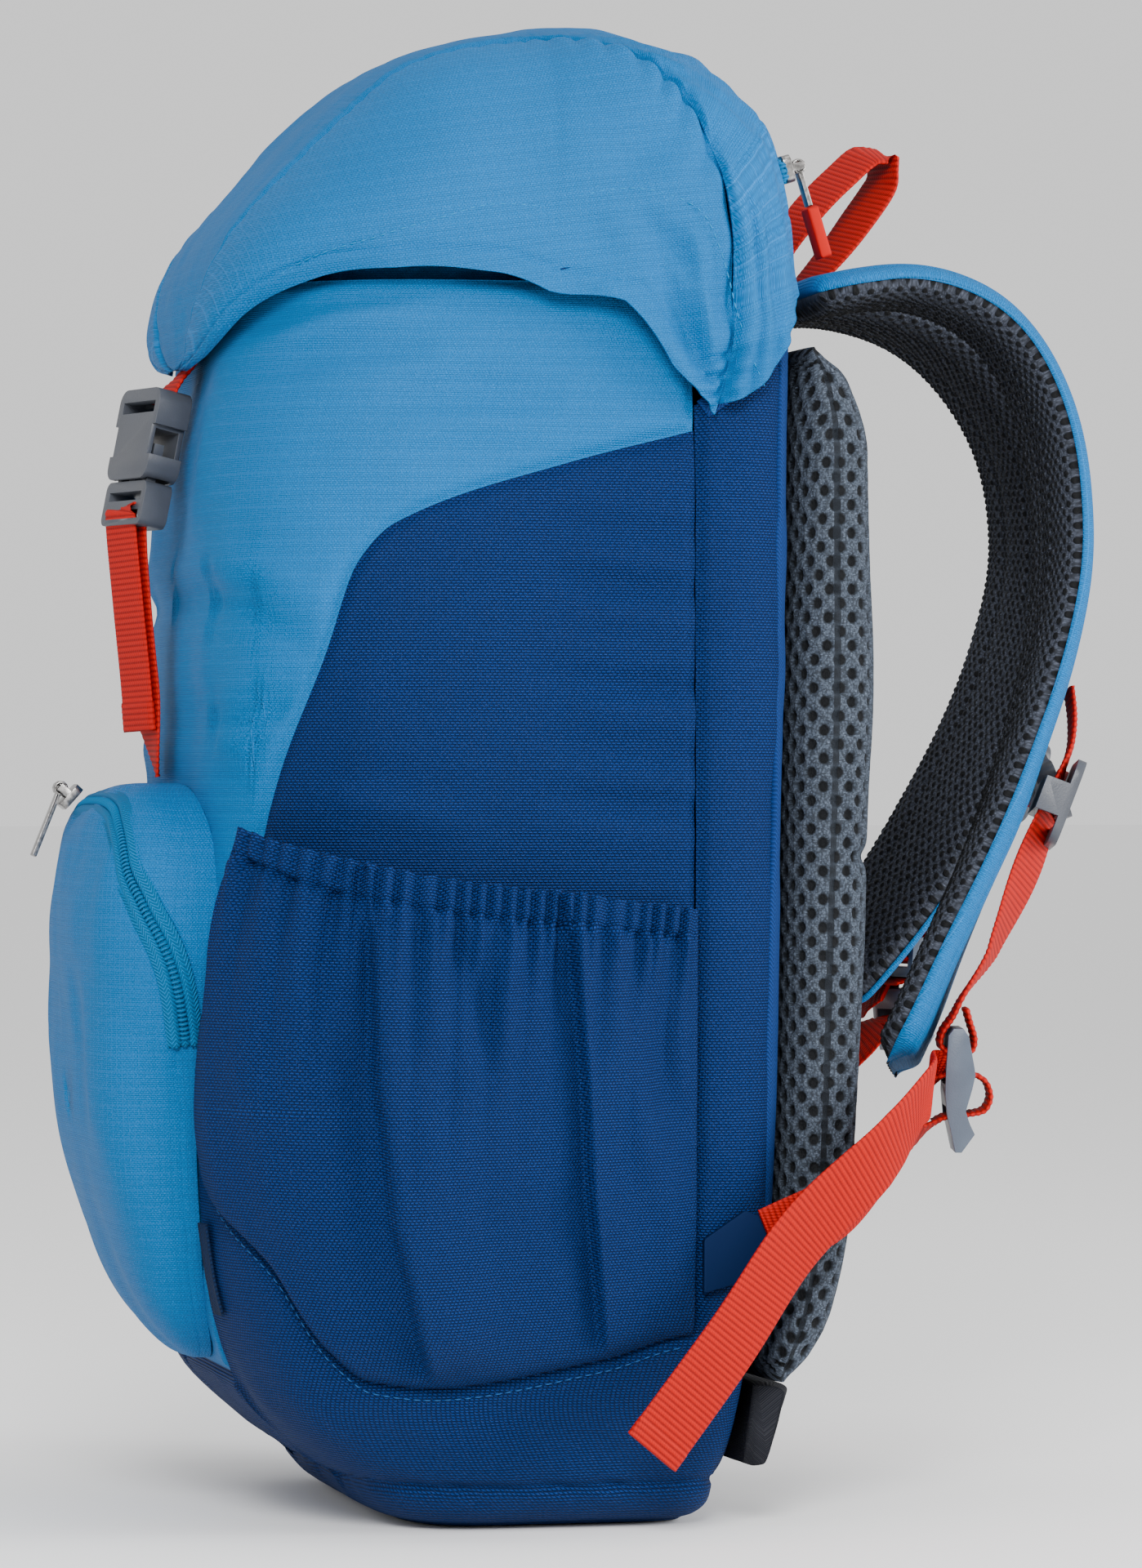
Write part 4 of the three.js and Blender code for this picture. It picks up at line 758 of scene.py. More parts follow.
def pocket_cloth(name, side, material):
    """A bellows pocket: gathered elastic hem, two long pleats, and folds that fan out below the hem."""
    columns, rows = 330, 170
    u = spaced(columns, 0.25)[None, :]
    v = (1 - (1 - np.linspace(0, 1, rows + 1)) ** 1.35)[:, None]
    k = lerp(K_TIP + 0.035, 0.997, u)
    low, high = base_top(k) + 0.2, pocket_top(k) - 1
    z = lerp(low, high, v)
    k, v, u = (np.broadcast_to(a, z.shape) for a in (k, v, u))
    points = body_point(k, z)
    normal = normals_of(points)
    arc = body_arc(k, z)
    round_it, up_it = np.maximum(np.sin(PI * u), 0), np.maximum(np.sin(PI * 0.8 * v), 0)
    lift = 1.6 + POCKET_BULGE * round_it**0.75 * up_it**0.75
    y = points[..., 1]
    below_hem = np.maximum(HEM_SHARE - v, 0)
    in_hem = step(HEM_SHARE - 0.006, HEM_SHARE + 0.012, v)
    flat_ends = step(0.035, 0.10, u) * step(0.0, 0.03, 1 - u)
    bunch = arc + 2.2 * noise(arc, z * 0, 13, 31 + side)
    ruffle = np.abs(np.sin(PI * bunch / 4.6)) * (1 + 0.4 * noise(arc, z * 0, 9, 32))
    deep = arc + 4.5 * noise(arc, z * 0.15, 24, 33)
    gather = np.abs(np.sin(PI * deep / 10.5)) * (1 + 0.5 * noise(arc, z * 0, 16, 34))
    pinch = dip(v - HEM_SHARE, 0.012)
    height = flat_ends * (
        in_hem * 3.0 * (ruffle - 0.5)
        + (1 - in_hem) * (2.6 * (ruffle - 0.5) * np.exp(-below_hem / 0.06)
                          + 4.4 * (gather - 0.5) * np.exp(-below_hem / 0.2))
        - 1.8 * pinch
    )
    edge = np.minimum(np.minimum(u * 130, (1 - u) * 130), (z - low) * 0.9)
    fan = 2.6 * noise(arc * 1.3, z * 0.35, 26, 35) + 0.8 * noise(arc, z * 0.6, 11, 36)
    height = height + fan * step(0, 16, edge) * (1 - in_hem)
    for points_yz, size in PLEATS:
        across, along = line_distance(y, z, points_yz)
        fade = step(1.0, 0.86, along) * 0.4 + 0.6
        crest = np.where(across < 0, np.exp(across / 13), -0.75 * np.exp(-across / 6.5))
        soft = np.tanh(across / 0.7)
        profile = np.where(across < 0, -crest * soft, crest * soft)
        height = height + size * fade * profile * (1 - 0.5 * in_hem) * step(0, 8, edge)
    height = height + fold(y, z, [(-60, 170), (-54, 150), (-52, 128)], -3.4, 4.5)
    height = height + fold(y, z, [(-46, 172), (-50, 150), (-52, 132)], 3.2, 4.5)
    height = height + fold(y, z, [(-98, 176), (-94, 140), (-88, 96)], 2.4, 7.0)
    height = height + fold(y, z, [(-92, 170), (-88, 130), (-80, 70)], -2.4, 6.0)
    height = height + fold(y, z, [(-6, 160), (0, 130), (8, 108)], -3.0, 5.0)
    height = height + fold(y, z, [(-14, 150), (-8, 118), (6, 84)], 3.0, 6.0)
    height = height + seam_dip(z - low, 2.0)
    top_wave = in_hem * flat_ends * (0.9 * (ruffle - 0.5) + 0.5 * noise(arc, z * 0, 18, 37))
    outer = points + normal * (lift + 1.2 + height)[..., None]
    outer[..., 2] += top_wave
    if side < 0:
        outer = outer[:, ::-1] * (-1, 1, 1)
        arc = -arc[:, ::-1]
        z = z[:, ::-1]
    made = cloth(name, outer, material, (arc * 1.25, z), 1.3)
    tag = "right" if side > 0 else "left"
    return place(made, "root", [f"side_pocket_{tag}", f"pocket_hem_{tag}"], "navy_canvas")


# ---------------------------------------------------------------- front pocket
POCKET_MID_Z, POCKET_TOP, POCKET_FOOT, POCKET_POWER = 120, 211, 44, 3.4
RIM_CLEARANCE = 1.2
pocket_depth = smooth([(40, 12), (60, 17), (82, 20), (141, 26), (190, 32), (215, 32)])
pocket_half = smooth([(40, 46), (75, 55), (117, 62), (140, 69), (163, 75), (215, 78)])


def front_skin(x, z):
    """Y of the front panel where |x| is below its half width."""
    front, back, half = front_y(z), back_y(z), half_width(z)
    middle = lerp(front, back, 0.55)
    power = front_power(z)
    bulge = np.maximum(1 - np.minimum(np.abs(x) / half, 1) ** power, 0) ** (1 / power)
    return middle - (middle - front) * bulge


def pocket_outline(a):
    up = np.sin(a) > 0
    power = 2 / np.where(up, 3.2, 3)
    rise = np.where(up, POCKET_TOP - POCKET_MID_Z, POCKET_MID_Z - POCKET_FOOT)
    z = POCKET_MID_Z + rise * signed_power(np.sin(a), power)
    return pocket_half(z) * signed_power(np.cos(a), power), z


def pocket_face(a, e, lift=0.0):
    """A point of the bulging front pocket: e is 0 at the seam and 90 degrees at the middle of its face."""
    x, z = pocket_outline(a)
    share = np.maximum(np.cos(e), 0) ** (2 / POCKET_POWER)
    px, pz = x * share, POCKET_MID_Z + (z - POCKET_MID_Z) * share
    out = np.maximum(np.sin(e), 0) ** (2 / POCKET_POWER) * pocket_depth(pz)
    return np.stack([px, front_skin(px, pz) - RIM_CLEARANCE - out - lift, pz], axis=-1)


zip_rise = smooth([(1, 0.8), (8, 6), (18, 14), (30, 24), (45, 30), (60, 29), (75, 27), (90, 27)])


def zip_e(degrees):
    """How far up the pocket's rim its zip lies, in degrees of e, at a rim angle."""
    return np.radians(zip_rise(90 - np.abs(90 - degrees)))


def front_pocket_cloth(material):
    a = (np.arange(400) * 2 * PI / 400)[None, :]
    t = np.linspace(0, 1, 96)[:, None]
    e = PI / 2 * t**1.6 * 0.999
    a, e = np.broadcast_arrays(a, e)
    points = pocket_face(a, e)
    around = np.roll(points, -1, 1) - np.roll(points, 1, 1)
    normal = unit(np.cross(around, np.gradient(points, axis=0)))
    x, y, z = points[..., 0], points[..., 1], points[..., 2]
    degrees = np.degrees(a)
    ridge = np.abs(np.degrees(e) - np.degrees(zip_e(degrees)))
    upper = (degrees > 0) & (degrees < 180)
    groove = np.where(upper, dip(ridge, 5.0) * 0.5, 0)
    soft = 1.5 * noise(x + 200, z, 42, 41) + 0.7 * noise(x * 1.2 + 90, z * 0.8 + y, 17, 42)
    height = soft * step(0, 0.35, e) - groove - 1.5 * dip(t * 60, 3.0)
    height = height + fold(y, z, [(-150, 140), (-146, 110), (-138, 80)], 1.2, 6)
    outer = points + normal * height[..., None]
    inner = pocket_face(a, e, -1.6)
    uv = (x * 0.35 + y * 0.95, z)
    made = cloth("front_pocket_cloth", outer, material, uv, 1.4, wrap=True, inner=inner)
    made = join("front_pocket_cloth", [made, pocket_cap(outer, inner, material)])
    return place(made, "root", ["front_pocket"], "cyan_ripstop")


def pocket_cap(outer, inner, material):
    """Closes the small hole at the middle of the pocket's face."""
    rim = outer[-1]
    count = len(rim)
    centre = rim.mean(0)
    back = inner[-1].mean(0)
    points = np.concatenate([rim, inner[-1], [centre, back]])
    faces = [[i, (i + 1) % count, 2 * count] for i in range(count)]
    faces += [[count + (i + 1) % count, count + i, 2 * count + 1] for i in range(count)]
    faces += [[(i + 1) % count, i, count + i, count + (i + 1) % count] for i in range(count)]
    uv = np.stack([points[:, 0] * 0.35 + points[:, 1] * 0.95, points[:, 2]], axis=1)
    return make_mesh("pocket_cap", points, faces, uv, material)


def surface_strip(surface, t, offsets, lift):
    """Points beside a line on a surface: surface(t) gives point, normal and sideways direction."""
    point, normal, side = surface(t)
    grid = point[None] + side[None] * offsets[:, None, None] + normal[None] * lift[..., None]
    return grid


def edge_strip(name, surface, t, s, offsets, lifts, sunk, material):
    """A closed tape beside a line on a surface: `lifts` above it outside, and `sunk` below it inside."""
    outer = surface_strip(surface, t, offsets, lifts)
    inner = surface_strip(surface, t, offsets, np.full(lifts.shape, -sunk))
    uv = (np.broadcast_to(offsets[:, None], lifts.shape), np.broadcast_to(s[None], lifts.shape))
    return cloth(name, outer, material, uv, inner=inner)


def front_zip_line(degrees):
    a, e = np.radians(degrees), zip_e(degrees)
    step_size = 0.01
    point = pocket_face(a, e)
    along = unit(pocket_face(np.radians(degrees + 0.6), zip_e(degrees + 0.6))
                 - pocket_face(np.radians(degrees - 0.6), zip_e(degrees - 0.6)))
    around = pocket_face(a + step_size, e) - pocket_face(a - step_size, e)
    outwards = pocket_face(a, e + step_size) - pocket_face(a, np.maximum(e - step_size, 0.001))
    normal = unit(np.cross(around, outwards))
    return point, normal, unit(np.cross(normal, along))


def even_line(surface, start, end, spacing):
    """Parameters that space points of a surface line evenly."""
    t = np.linspace(start, end, 1200)
    points = surface(t)[0]
    travelled = np.concatenate([[0], np.cumsum(np.linalg.norm(np.diff(points, axis=0), axis=1))])
    count = max(int(travelled[-1] / spacing), 4)
    s = np.linspace(0, travelled[-1], count + 1)
    return np.interp(s, travelled, t), s


TAPE_HALF = np.array([0.12, 0.24, 0.34, 0.5, 0.66, 0.8, 0.94, 1])  # shares of the tape's half width
TAPE_ACROSS = np.concatenate([-TAPE_HALF[::-1], [0], TAPE_HALF])


def zip_tape(name, surface, span, half, lift, material, nodes):
    """Both halves of a zip's tape, with a raised bead beside the coil and a sewn groove at each edge."""
    t, s = even_line(surface, *span, 1.0)
    offsets = TAPE_ACROSS
    profile = lift + 0.7 - 1.2 * np.abs(offsets) ** 8 - 0.7 * dip(np.abs(offsets) - 0.8, 0.06)
    profile = profile + 0.8 * dip(np.abs(offsets) - 0.42, 0.1) - 0.9 * dip(np.abs(offsets) - 0.24, 0.08)
    lifts = np.broadcast_to(profile[:, None], (len(offsets), len(t)))
    made = edge_strip(name, surface, t, s, offsets * half, lifts, 0.6, material)
    place(made, "root", nodes, "zip_tape")


def zip_coil(name, surface, span, lift, material, nodes, pitch=1.35):
    """The coil's teeth: one small loop of thread for every pitch of the zip."""
    t, _ = even_line(surface, *span, pitch)
    point, normal, side = surface(t)
    turn = (np.linspace(-1, 1, 9) * PI * 0.62)[:, None]
    arch = (point[:, None] + side[:, None] * (1.15 * np.sin(turn))
            + normal[:, None] * (lift + 0.75 * np.cos(turn)))
    ahead = unit(np.gradient(arch, axis=1))
    along = unit(np.cross(side, normal))[:, None]
    outward = unit(np.cross(ahead, np.broadcast_to(along, arch.shape)))
    ring = np.arange(THREAD_SIDES) * 2 * PI / THREAD_SIDES
    tube = (arch[:, :, None] + 0.42 * np.cos(ring)[:, None] * along[:, :, None]
            + 0.34 * np.sin(ring)[:, None] * outward[:, :, None])
    index = np.arange(tube[..., 0].size).reshape(tube.shape[:3])
    nxt = np.roll(index, -1, 2)
    sides = np.stack([index[:, :-1], nxt[:, :-1], nxt[:, 1:], index[:, 1:]], axis=-1).reshape(-1, 4)
    faces = sides.tolist() + index[:, 0, ::-1].tolist() + index[:, -1].tolist()
    made = make_mesh(name, tube.reshape(-1, 3), faces, np.zeros((index.size, 2)), material)
    place(made, "root", nodes, "zip_tape")


# ---------------------------------------------------------------- lid
LID_CENTRE = (-34, 318)
lid_power = smooth([(95, 3), (131, 5.5)])
lid_top = smooth([(8.8, 85.5), (20, 90), (32.7, 92.6), (46.9, 93.3), (61.6, 98.3), (73.6, 105.5),
                  (89.8, 109.9), (99, 113.2), (110, 115.4), (118, 115.2), (126.4, 113.2), (131.7, 111.2),
                  (138.5, 105.5), (146.6, 98.2), (155.5, 91.7), (165, 89)])
lid_edge = smooth([(8.8, 84), (17, 81), (30, 68), (44.8, 51), (69, 36.6), (112, 26.7), (163.5, 32),
                   (189, 49.6)])
lid_edge_x = smooth([(8.8, 11), (11, 40), (17, 66), (30, 91), (44.8, 103), (69, 107.5), (112, 109),
                     (189, 109)])
lid_seam = smooth([(8.8, 0.97), (17, 0.97), (30, 0.955), (90, 0.94), (104, 0.91), (117, 0.81), (126, 0.7),
                   (132, 0.65), (147, 0.56), (165, 0.45), (189, 0.02)])


def lid_point(degrees, turn):
    """The lid's surface: hoops at an angle from the front, each crossed by `turn` from +X to -X."""
    edge = lid_edge(degrees)
    power = 2 / lid_power(degrees)
    share = np.abs(np.sin(turn)) ** power
    r = edge + (np.maximum(lid_top(degrees), edge + 1) - edge) * share
    x = lid_edge_x(degrees) * signed_power(np.cos(turn), power)
    a = np.radians(degrees)
    return np.stack([x, LID_CENTRE[0] - r * np.cos(a), LID_CENTRE[1] + r * np.sin(a)], axis=-1)


def seam_turn(degrees):
    return np.arcsin(lid_seam(degrees) ** (lid_power(degrees) / 2))


def lid_blend(made):
    """Bakes the lid cloth's transform into its mesh."""
    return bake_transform(made)


def lid_side_cloth(name, side, material):
    """A lid side panel: arched hem below, puckered seam above, crumpled towards its rear corner."""
    degrees = lerp(8.9, 185, spaced(250, 0.1))[:, None]
    u = spaced(90, 0.7)[None, :]
    top = seam_turn(degrees)
    turn = lerp(0.002, top, u**1.5)
    degrees = np.broadcast_to(degrees, turn.shape)
    points = lid_point(degrees, turn)
    normal = unit(np.cross(np.gradient(points, axis=0), np.gradient(points, axis=1)))
    y, z = points[..., 1], points[..., 2]
    up = np.cumsum(np.linalg.norm(np.diff(points, axis=1, prepend=points[:, :1]), axis=2), axis=1)
    from_top, from_edge = up[:, -1:] - up, up
    along = np.radians(degrees) * lid_top(degrees)
    rear = step(82, 120, degrees)
    height = seam_dip(from_top, 1.9)
    pucker = np.abs(np.sin(PI * (along + 3 * noise(along, along * 0, 17, 51)) / 9.5)) - 0.5
    height = height + (0.5 + 2.4 * rear) * pucker * dip(from_top, 9) * step(0, 2, from_top)
    height = height + (0.9 + 0.6 * rear) * noise(y + 300, z, 38, 52) * step(2, 16, from_edge)
    height = height + (0.3 + 1.5 * rear) * noise(y * 0.8 + z * 0.6 + 100, z * 0.8 - y * 0.5, 15, 53)
    height = height + fold(y, z, [(16, 314), (2, 332), (-18, 352)], 3.4, 4.5)
    height = height + fold(y, z, [(17, 318), (8, 338), (-2, 364)], -3.2, 3.5)
    height = height + fold(y, z, [(16, 322), (14, 344), (10, 368)], 3.0, 3.0)
    height = height + fold(y, z, [(10, 310), (-8, 322), (-30, 333)], -2.6, 4.5)
    height = height + fold(y, z, [(6, 309), (-14, 317), (-34, 326)], 2.2, 4.0)
    height = height + fold(y, z, [(-8, 372), (6, 360), (18, 344)], -2.4, 4.0)
    height = height - 0.5 * dip(from_edge - 7, 0.9) + 0.5 * step(7, 5, from_edge)
    outer = points + normal * height[..., None]
    inner = points - normal * (1.4 - height[..., None])
    if side < 0:
        outer, inner = outer * (-1, 1, 1), inner * (-1, 1, 1)
    uv_flat = (y * 0.99 + z * 0.12, z * 0.99 - y * 0.12)
    if side > 0:
        outer, inner = outer[:, ::-1], inner[:, ::-1]
        uv_flat = tuple(a[:, ::-1] for a in uv_flat)
    return cloth(name, outer, material, uv_flat, inner=inner)


def lid_top_cloth(material):
    """The lid's centre band, from the front tip over the crown to the back of the pack."""
    u = spaced(190, 0.75)[None, :]
    v = np.linspace(0, 1, 281)[:, None]
    end = lerp(157.0, 181.0, np.abs(2 * u - 1) ** 3)
    degrees = lerp(8.9, end, v)
    edge = seam_turn(degrees)
    turn = lerp(edge, PI - edge, u)
    degrees = np.broadcast_to(degrees, turn.shape)
    points = lid_point(degrees, turn)
    normal = -normals_of(points)
    across, _ = grid_lengths(points)
    half = np.maximum(np.abs(across[:, :1]), np.abs(across[:, -1:]))
    from_seam = np.maximum(half - np.abs(across), 0)
    along = np.radians(degrees) * lid_top(degrees)
    rear = step(95, 128, degrees)
    height = seam_dip(from_seam, 1.9)
    pucker = np.abs(np.sin(PI * (along + 3 * noise(along, along * 0, 17, 51)) / 9.5)) - 0.5
    height = height + (0.5 + 2.4 * rear) * pucker * dip(from_seam, 8) * step(0, 2, from_seam)
    height = height + 0.9 * noise(across + 200, along, 34, 62) * step(0, 10, from_seam)
    crumple = noise(across * 1.2 + 50, along * 0.7, 13, 63) + 0.6 * noise(across + 9, along, 7, 64)
    height = height + crumple * (0.25 + 1.8 * rear) * step(0, 6, from_seam)
    ridge = np.abs(np.sin(PI * (from_seam + 2.5 * noise(along, across * 0, 21, 65)) / 11)) - 0.5
    height = height + 2.0 * ridge * step(128, 146, degrees) * dip(from_seam - 10, 16)
    height = height - 0.5 * dip(degrees - 131, 0.5) - 0.5 * dip(degrees - 145, 0.5)
    outer = points + normal * height[..., None]
    inner = points + normal * (height[..., None] - 1.4)
    outer, inner, across, along = (grid[:, ::-1] for grid in (outer, inner, across, along))
    return cloth("lid_top_cloth", outer, material, (-across, along), inner=inner)


def lid_frame(degrees, turn):
    """Points, normals and sideways directions along a line on the lid."""
    point = lid_point(degrees, turn)
    along = unit(np.gradient(point, axis=0))
    round_hoop = lid_point(degrees + 0.5, turn) - lid_point(degrees - 0.5, turn)
    over_lid = lid_point(degrees, turn + 0.01) - lid_point(degrees, turn - 0.01)
    normal = unit(np.cross(round_hoop, over_lid))
    return point, normal, unit(np.cross(normal, along))


HEM_SPAN = (20, 112)  # hoop angles between which the binding shows under the arch
HEM_TURN = 0.03  # the binding's place on each hoop, just above the lid's edge


def build_lid(cyan, binding, thread):
    top = lid_top_cloth(cyan)
    sides = [lid_side_cloth(f"lid_side_cloth_{tag}", side, cyan) for side, tag in SIDES]
    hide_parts("lid_top_panel", "lid_rear_band")
    for made, (_, tag) in zip(sides, SIDES):
        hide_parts(f"lid_side_panel_{tag}")
    for made in (top, *sides):
        lid_blend(made)
    for side, tag in SIDES:

        def hem(t, side=side):
            turn = np.full(np.shape(t), HEM_TURN)
            return lid_frame(lerp(*HEM_SPAN, t), turn if side > 0 else PI - turn)

        t, s = even_line(hem, 0, 1, 1.5)
        point, normal, _ = hem(t)
        towards_edge = unit(lid_point(lerp(*HEM_SPAN, t), np.full(t.shape, 0.0 if side > 0 else PI)) - point)
        outer = np.stack([point - normal * 0.9 + towards_edge * 2.0,
                          point - normal * 3.4 - towards_edge * 6])
        inner = outer - normal[None] * 0.9
        uv = (np.broadcast_to(np.array([[0.0], [7.0]]), (2, len(t))), np.broadcast_to(s[None], (2, len(t))))
        if side > 0:
            outer, inner = outer[::-1], inner[::-1]
        tape = cloth(f"lid_hem_binding_{tag}", outer, binding, uv, inner=inner)
        lid_blend(tape)
        stitch_turn = 0.16
        row = lid_point(lerp(12, 176, t), np.full(t.shape, stitch_turn if side > 0 else PI - stitch_turn))
        sewn = stitches(f"lid_hem_stitches_{tag}", row + normal * 0.2, normal, thread, 1.9, 1.0, 0.2)
        lid_blend(sewn)


LID_ZIP_HOOP = 139.0


def lid_zip_line(x):
    """The lid pocket's zip along its hoop, for x from one side to the other."""
    size = np.minimum(np.abs(x) / lid_edge_x(LID_ZIP_HOOP), 1)
    turn = np.arccos(size ** (lid_power(LID_ZIP_HOOP) / 2))
    turn = np.where(x >= 0, turn, PI - turn)
    return lid_frame(np.full(np.shape(x), LID_ZIP_HOOP), turn)


# ---------------------------------------------------------------- back pads and harness
pad_out = smooth([(42, 12), (60, 20), (110, 24), (225, 27), (305, 24), (325, 17), (334, 8)])
PAD_FOOT, PAD_TOP = 42, 334
PAD_PITCH, PAD_HOLE = (7.2, 4.0), (3.5, 3.9)
STRAP_PITCH, STRAP_HOLE = (3.9, 2.25), (1.9, 2.3)


def dimple(u, v, pitch, hole, depth):
    """The same staggered holes as the air mesh material, as depth in mm."""
    row = np.floor(v / pitch[1])
    column = u / pitch[0] + np.mod(row, 2) * 0.5
    cu = (column - np.floor(column) - 0.5) * pitch[0] / hole[0] * 2
    cv = (v / pitch[1] - row - 0.5) * pitch[1] / hole[1] * 2
    return -depth * step(1.12, 0.7, np.hypot(cu, cv))


def back_pad(side, tag, material):
    """A crowned spacer mesh cushion beside the spine, dimpled and with one sewn channel."""
    z = np.concatenate([[41.2, 41.4], np.linspace(PAD_FOOT, PAD_TOP, 330), [334.6, 334.8]])
    a = np.linspace(0, 2 * PI, 169)[:-1]
    a = a + 0.12 * np.sin(2 * a)
    zz, aa = np.meshgrid(np.clip(z, PAD_FOOT, PAD_TOP), a, indexing="ij")
    shrink = np.minimum(1, np.minimum((z - 40.6) / 7, (335.4 - z) / 7)) ** 0.45
    x = 61 + 32 * signed_power(np.cos(aa), 0.6) * lerp(0.9, 1, shrink[:, None])
    share = signed_power(np.sin(aa), 0.6)
    lowest = back_y(zz) + 0.8
    y = lowest + pad_out(zz) * (0.5 + 0.5 * share * shrink[:, None])
    zz = np.broadcast_to(z[:, None], aa.shape)
    points = np.stack([x, y, zz], axis=-1)
    around = np.cumsum(np.linalg.norm(np.diff(points, axis=1, prepend=points[:, :1]), axis=2), axis=1)
    normal = unit(np.cross(np.gradient(points, axis=0), np.roll(points, -1, 1) - np.roll(points, 1, 1)))
    outwards = np.sign(np.sum(normal[100, 42] * np.array([0, 1.0, 0])))
    normal = normal * outwards
    height = dimple(around, zz, PAD_PITCH, PAD_HOLE, 1.5)
    height = height * step(0, 4, zz - PAD_FOOT) * step(0, 4, PAD_TOP - zz)
    height = height + 0.8 * noise(around, zz, 40, 71)
    height = height - 1.6 * dip(zz - 190, 2.6) * step(-0.3, 0.6, share)
    points = points + normal * height[..., None]
    uv = np.stack([around, zz], axis=-1)
    if side < 0:
        points = points * (-1, 1, 1)
        points, uv = points[:, ::-1], uv[:, ::-1]
    made = rings_mesh(f"back_pad_mesh_{tag}", points[:, ::-1], material, uv[:, ::-1])
    place(made, "root", [f"back_pad_{tag}"], "grey_air_mesh")


STRAP_T = 9
BUCKLE_TURN = 16
HARNESS = {
    "right": {
        "side": 1,
        "points": [(47, 57, 352), (47, 68, 354.5), (47, 88, 357), (49, 110, 350), (50, 126, 333),
                   (52, 135, 306), (54, 136.5, 279), (56, 132, 251), (58, 123, 222), (60.5, 111, 192),
                   (63.5, 97, 163), (66, 87, 141), (66.5, 80, 128)],
        "lock": (67, 99, 122),
        "anchor": (104.5, 22, 79),
    },
    "left": {
        "side": -1,
        "points": [(-47, 57, 352), (-47, 69, 355.5), (-47, 90, 358.5), (-49, 116, 353.5), (-51, 139, 338),
                   (-52, 156, 309), (-53, 159.5, 281), (-55, 155.5, 256), (-57, 147, 230), (-60, 134.5, 204),
                   (-63.5, 120, 178), (-66, 103, 156), (-67, 94, 145)],
        "lock": (-67, 121, 145),
        "anchor": (-104.5, 22, 79),
    },
}
strap_width = smooth([(0, 46), (0.1, 54), (0.5, 56), (0.8, 50), (0.94, 42), (1, 26)])
strap_turn = smooth([(0, 5), (0.45, 6), (0.7, 13), (0.85, 20), (1, 28)])
LOCK_TURN = 13  # how far each ladder lock is turned out, in degrees
RAIL_TOP, RAIL_FOOT = 0.615, 0.83
rail_lift = smooth([(RAIL_TOP, 0.6), (0.655, 5.6), (RAIL_FOOT, 5.6)])
RAIL_SEAT = STRAP_T / 2 + 1.2 + 0.8


def softened(curve, window=0.035):
    """The same curve with its small kinks averaged out."""

    def value(t):
        t = np.asarray(t, float)
        shifts = np.linspace(-window, window, 9)
        reach = np.minimum(np.minimum(t, 1 - t) / window, 1)
        return sum(curve(t + d * reach) for d in shifts) / len(shifts)

    return value


def turned(degrees):
    """The level direction +X, turned about the vertical."""
    a = np.radians(degrees)
    return np.stack([np.cos(a), np.sin(a), 0 * a], axis=-1)


def strap_path(harness, spacing):
    side = harness["side"]
    path = Path(softened(route(harness["points"])), lambda t: turned(-side * strap_turn(t)), spacing)
    path.face = -path.face  # away from the wearer
    return path


def strap_layer(name, harness, under, over, trim, material, holes=False, spacing=0.8):
    """One cloth of the shoulder strap: a crowned sheet between its seams, `over` being its crown."""
    path = strap_path(harness, spacing)
    count = int(56 / spacing)
    a = np.linspace(-1, 1, count + 1)
    a = signed_power(a, 0.85)
    half = (strap_width(path.t) - trim)[:, None] / 2
    s = path.s[:, None]
    rise = (1 - np.abs(a) ** 4.5)[None, :] ** 0.5
    ends = np.minimum(step(0, 5, s + 2), step(0, 7, path.s[-1] - s))
    crown = under + (over - under) * rise * ends
    u = a[None, :] * half
    if holes:
        inward = np.sign(under - over)
        crown = crown + inward * dimple(u, np.broadcast_to(s, u.shape), STRAP_PITCH, STRAP_HOLE, 0.85) * rise
        crown = crown + inward * (0.8 * dip(u + 9, 1.6) + 0.5 * dip(u - 11, 1.6))
    else:
        crown = crown - 0.6 * dip(np.abs(u) - half + 5.5, 0.8) + 0.35 * noise(s, u, 24, 81) * rise
    top = path.point[:, None] + path.side[:, None] * u[..., None] + path.face[:, None] * crown[..., None]
    flat = path.point[:, None] + path.side[:, None] * u[..., None] * 0.985 + path.face[:, None] * (
        under + 0.04 * np.sign(over - under))
    uv = (u, np.broadcast_to(s, u.shape))
    if over > under:
        top, flat, uv = top[:, ::-1], flat[:, ::-1], tuple(x[:, ::-1] for x in uv)
    return cloth(name, top, material, uv, inner=flat)


def rail_point(harness, t):
    path = strap_path(harness, 1.0)
    face = np.stack([np.interp(t, path.t, path.face[:, i]) for i in range(3)], axis=-1)
    return softened(route(harness["points"]))(t) + unit(face) * (RAIL_SEAT + rail_lift(t))[..., None]


def straight_across(x, y, z):
    return lambda t: np.broadcast_to(np.array([x, y, z], float), (*np.shape(t), 3))


def lock_point(harness, out, up):
    """A point beside a ladder lock's centre: out is towards the wearer, square to its face."""
    x, y, z = harness["lock"]
    turn = math.radians(LOCK_TURN)
    return x + harness["side"] * math.sin(turn) * out, y + math.cos(turn) * out, z + up


RAIL_TWIST = 26  # degrees that the slack rail turns out, halfway to the lock


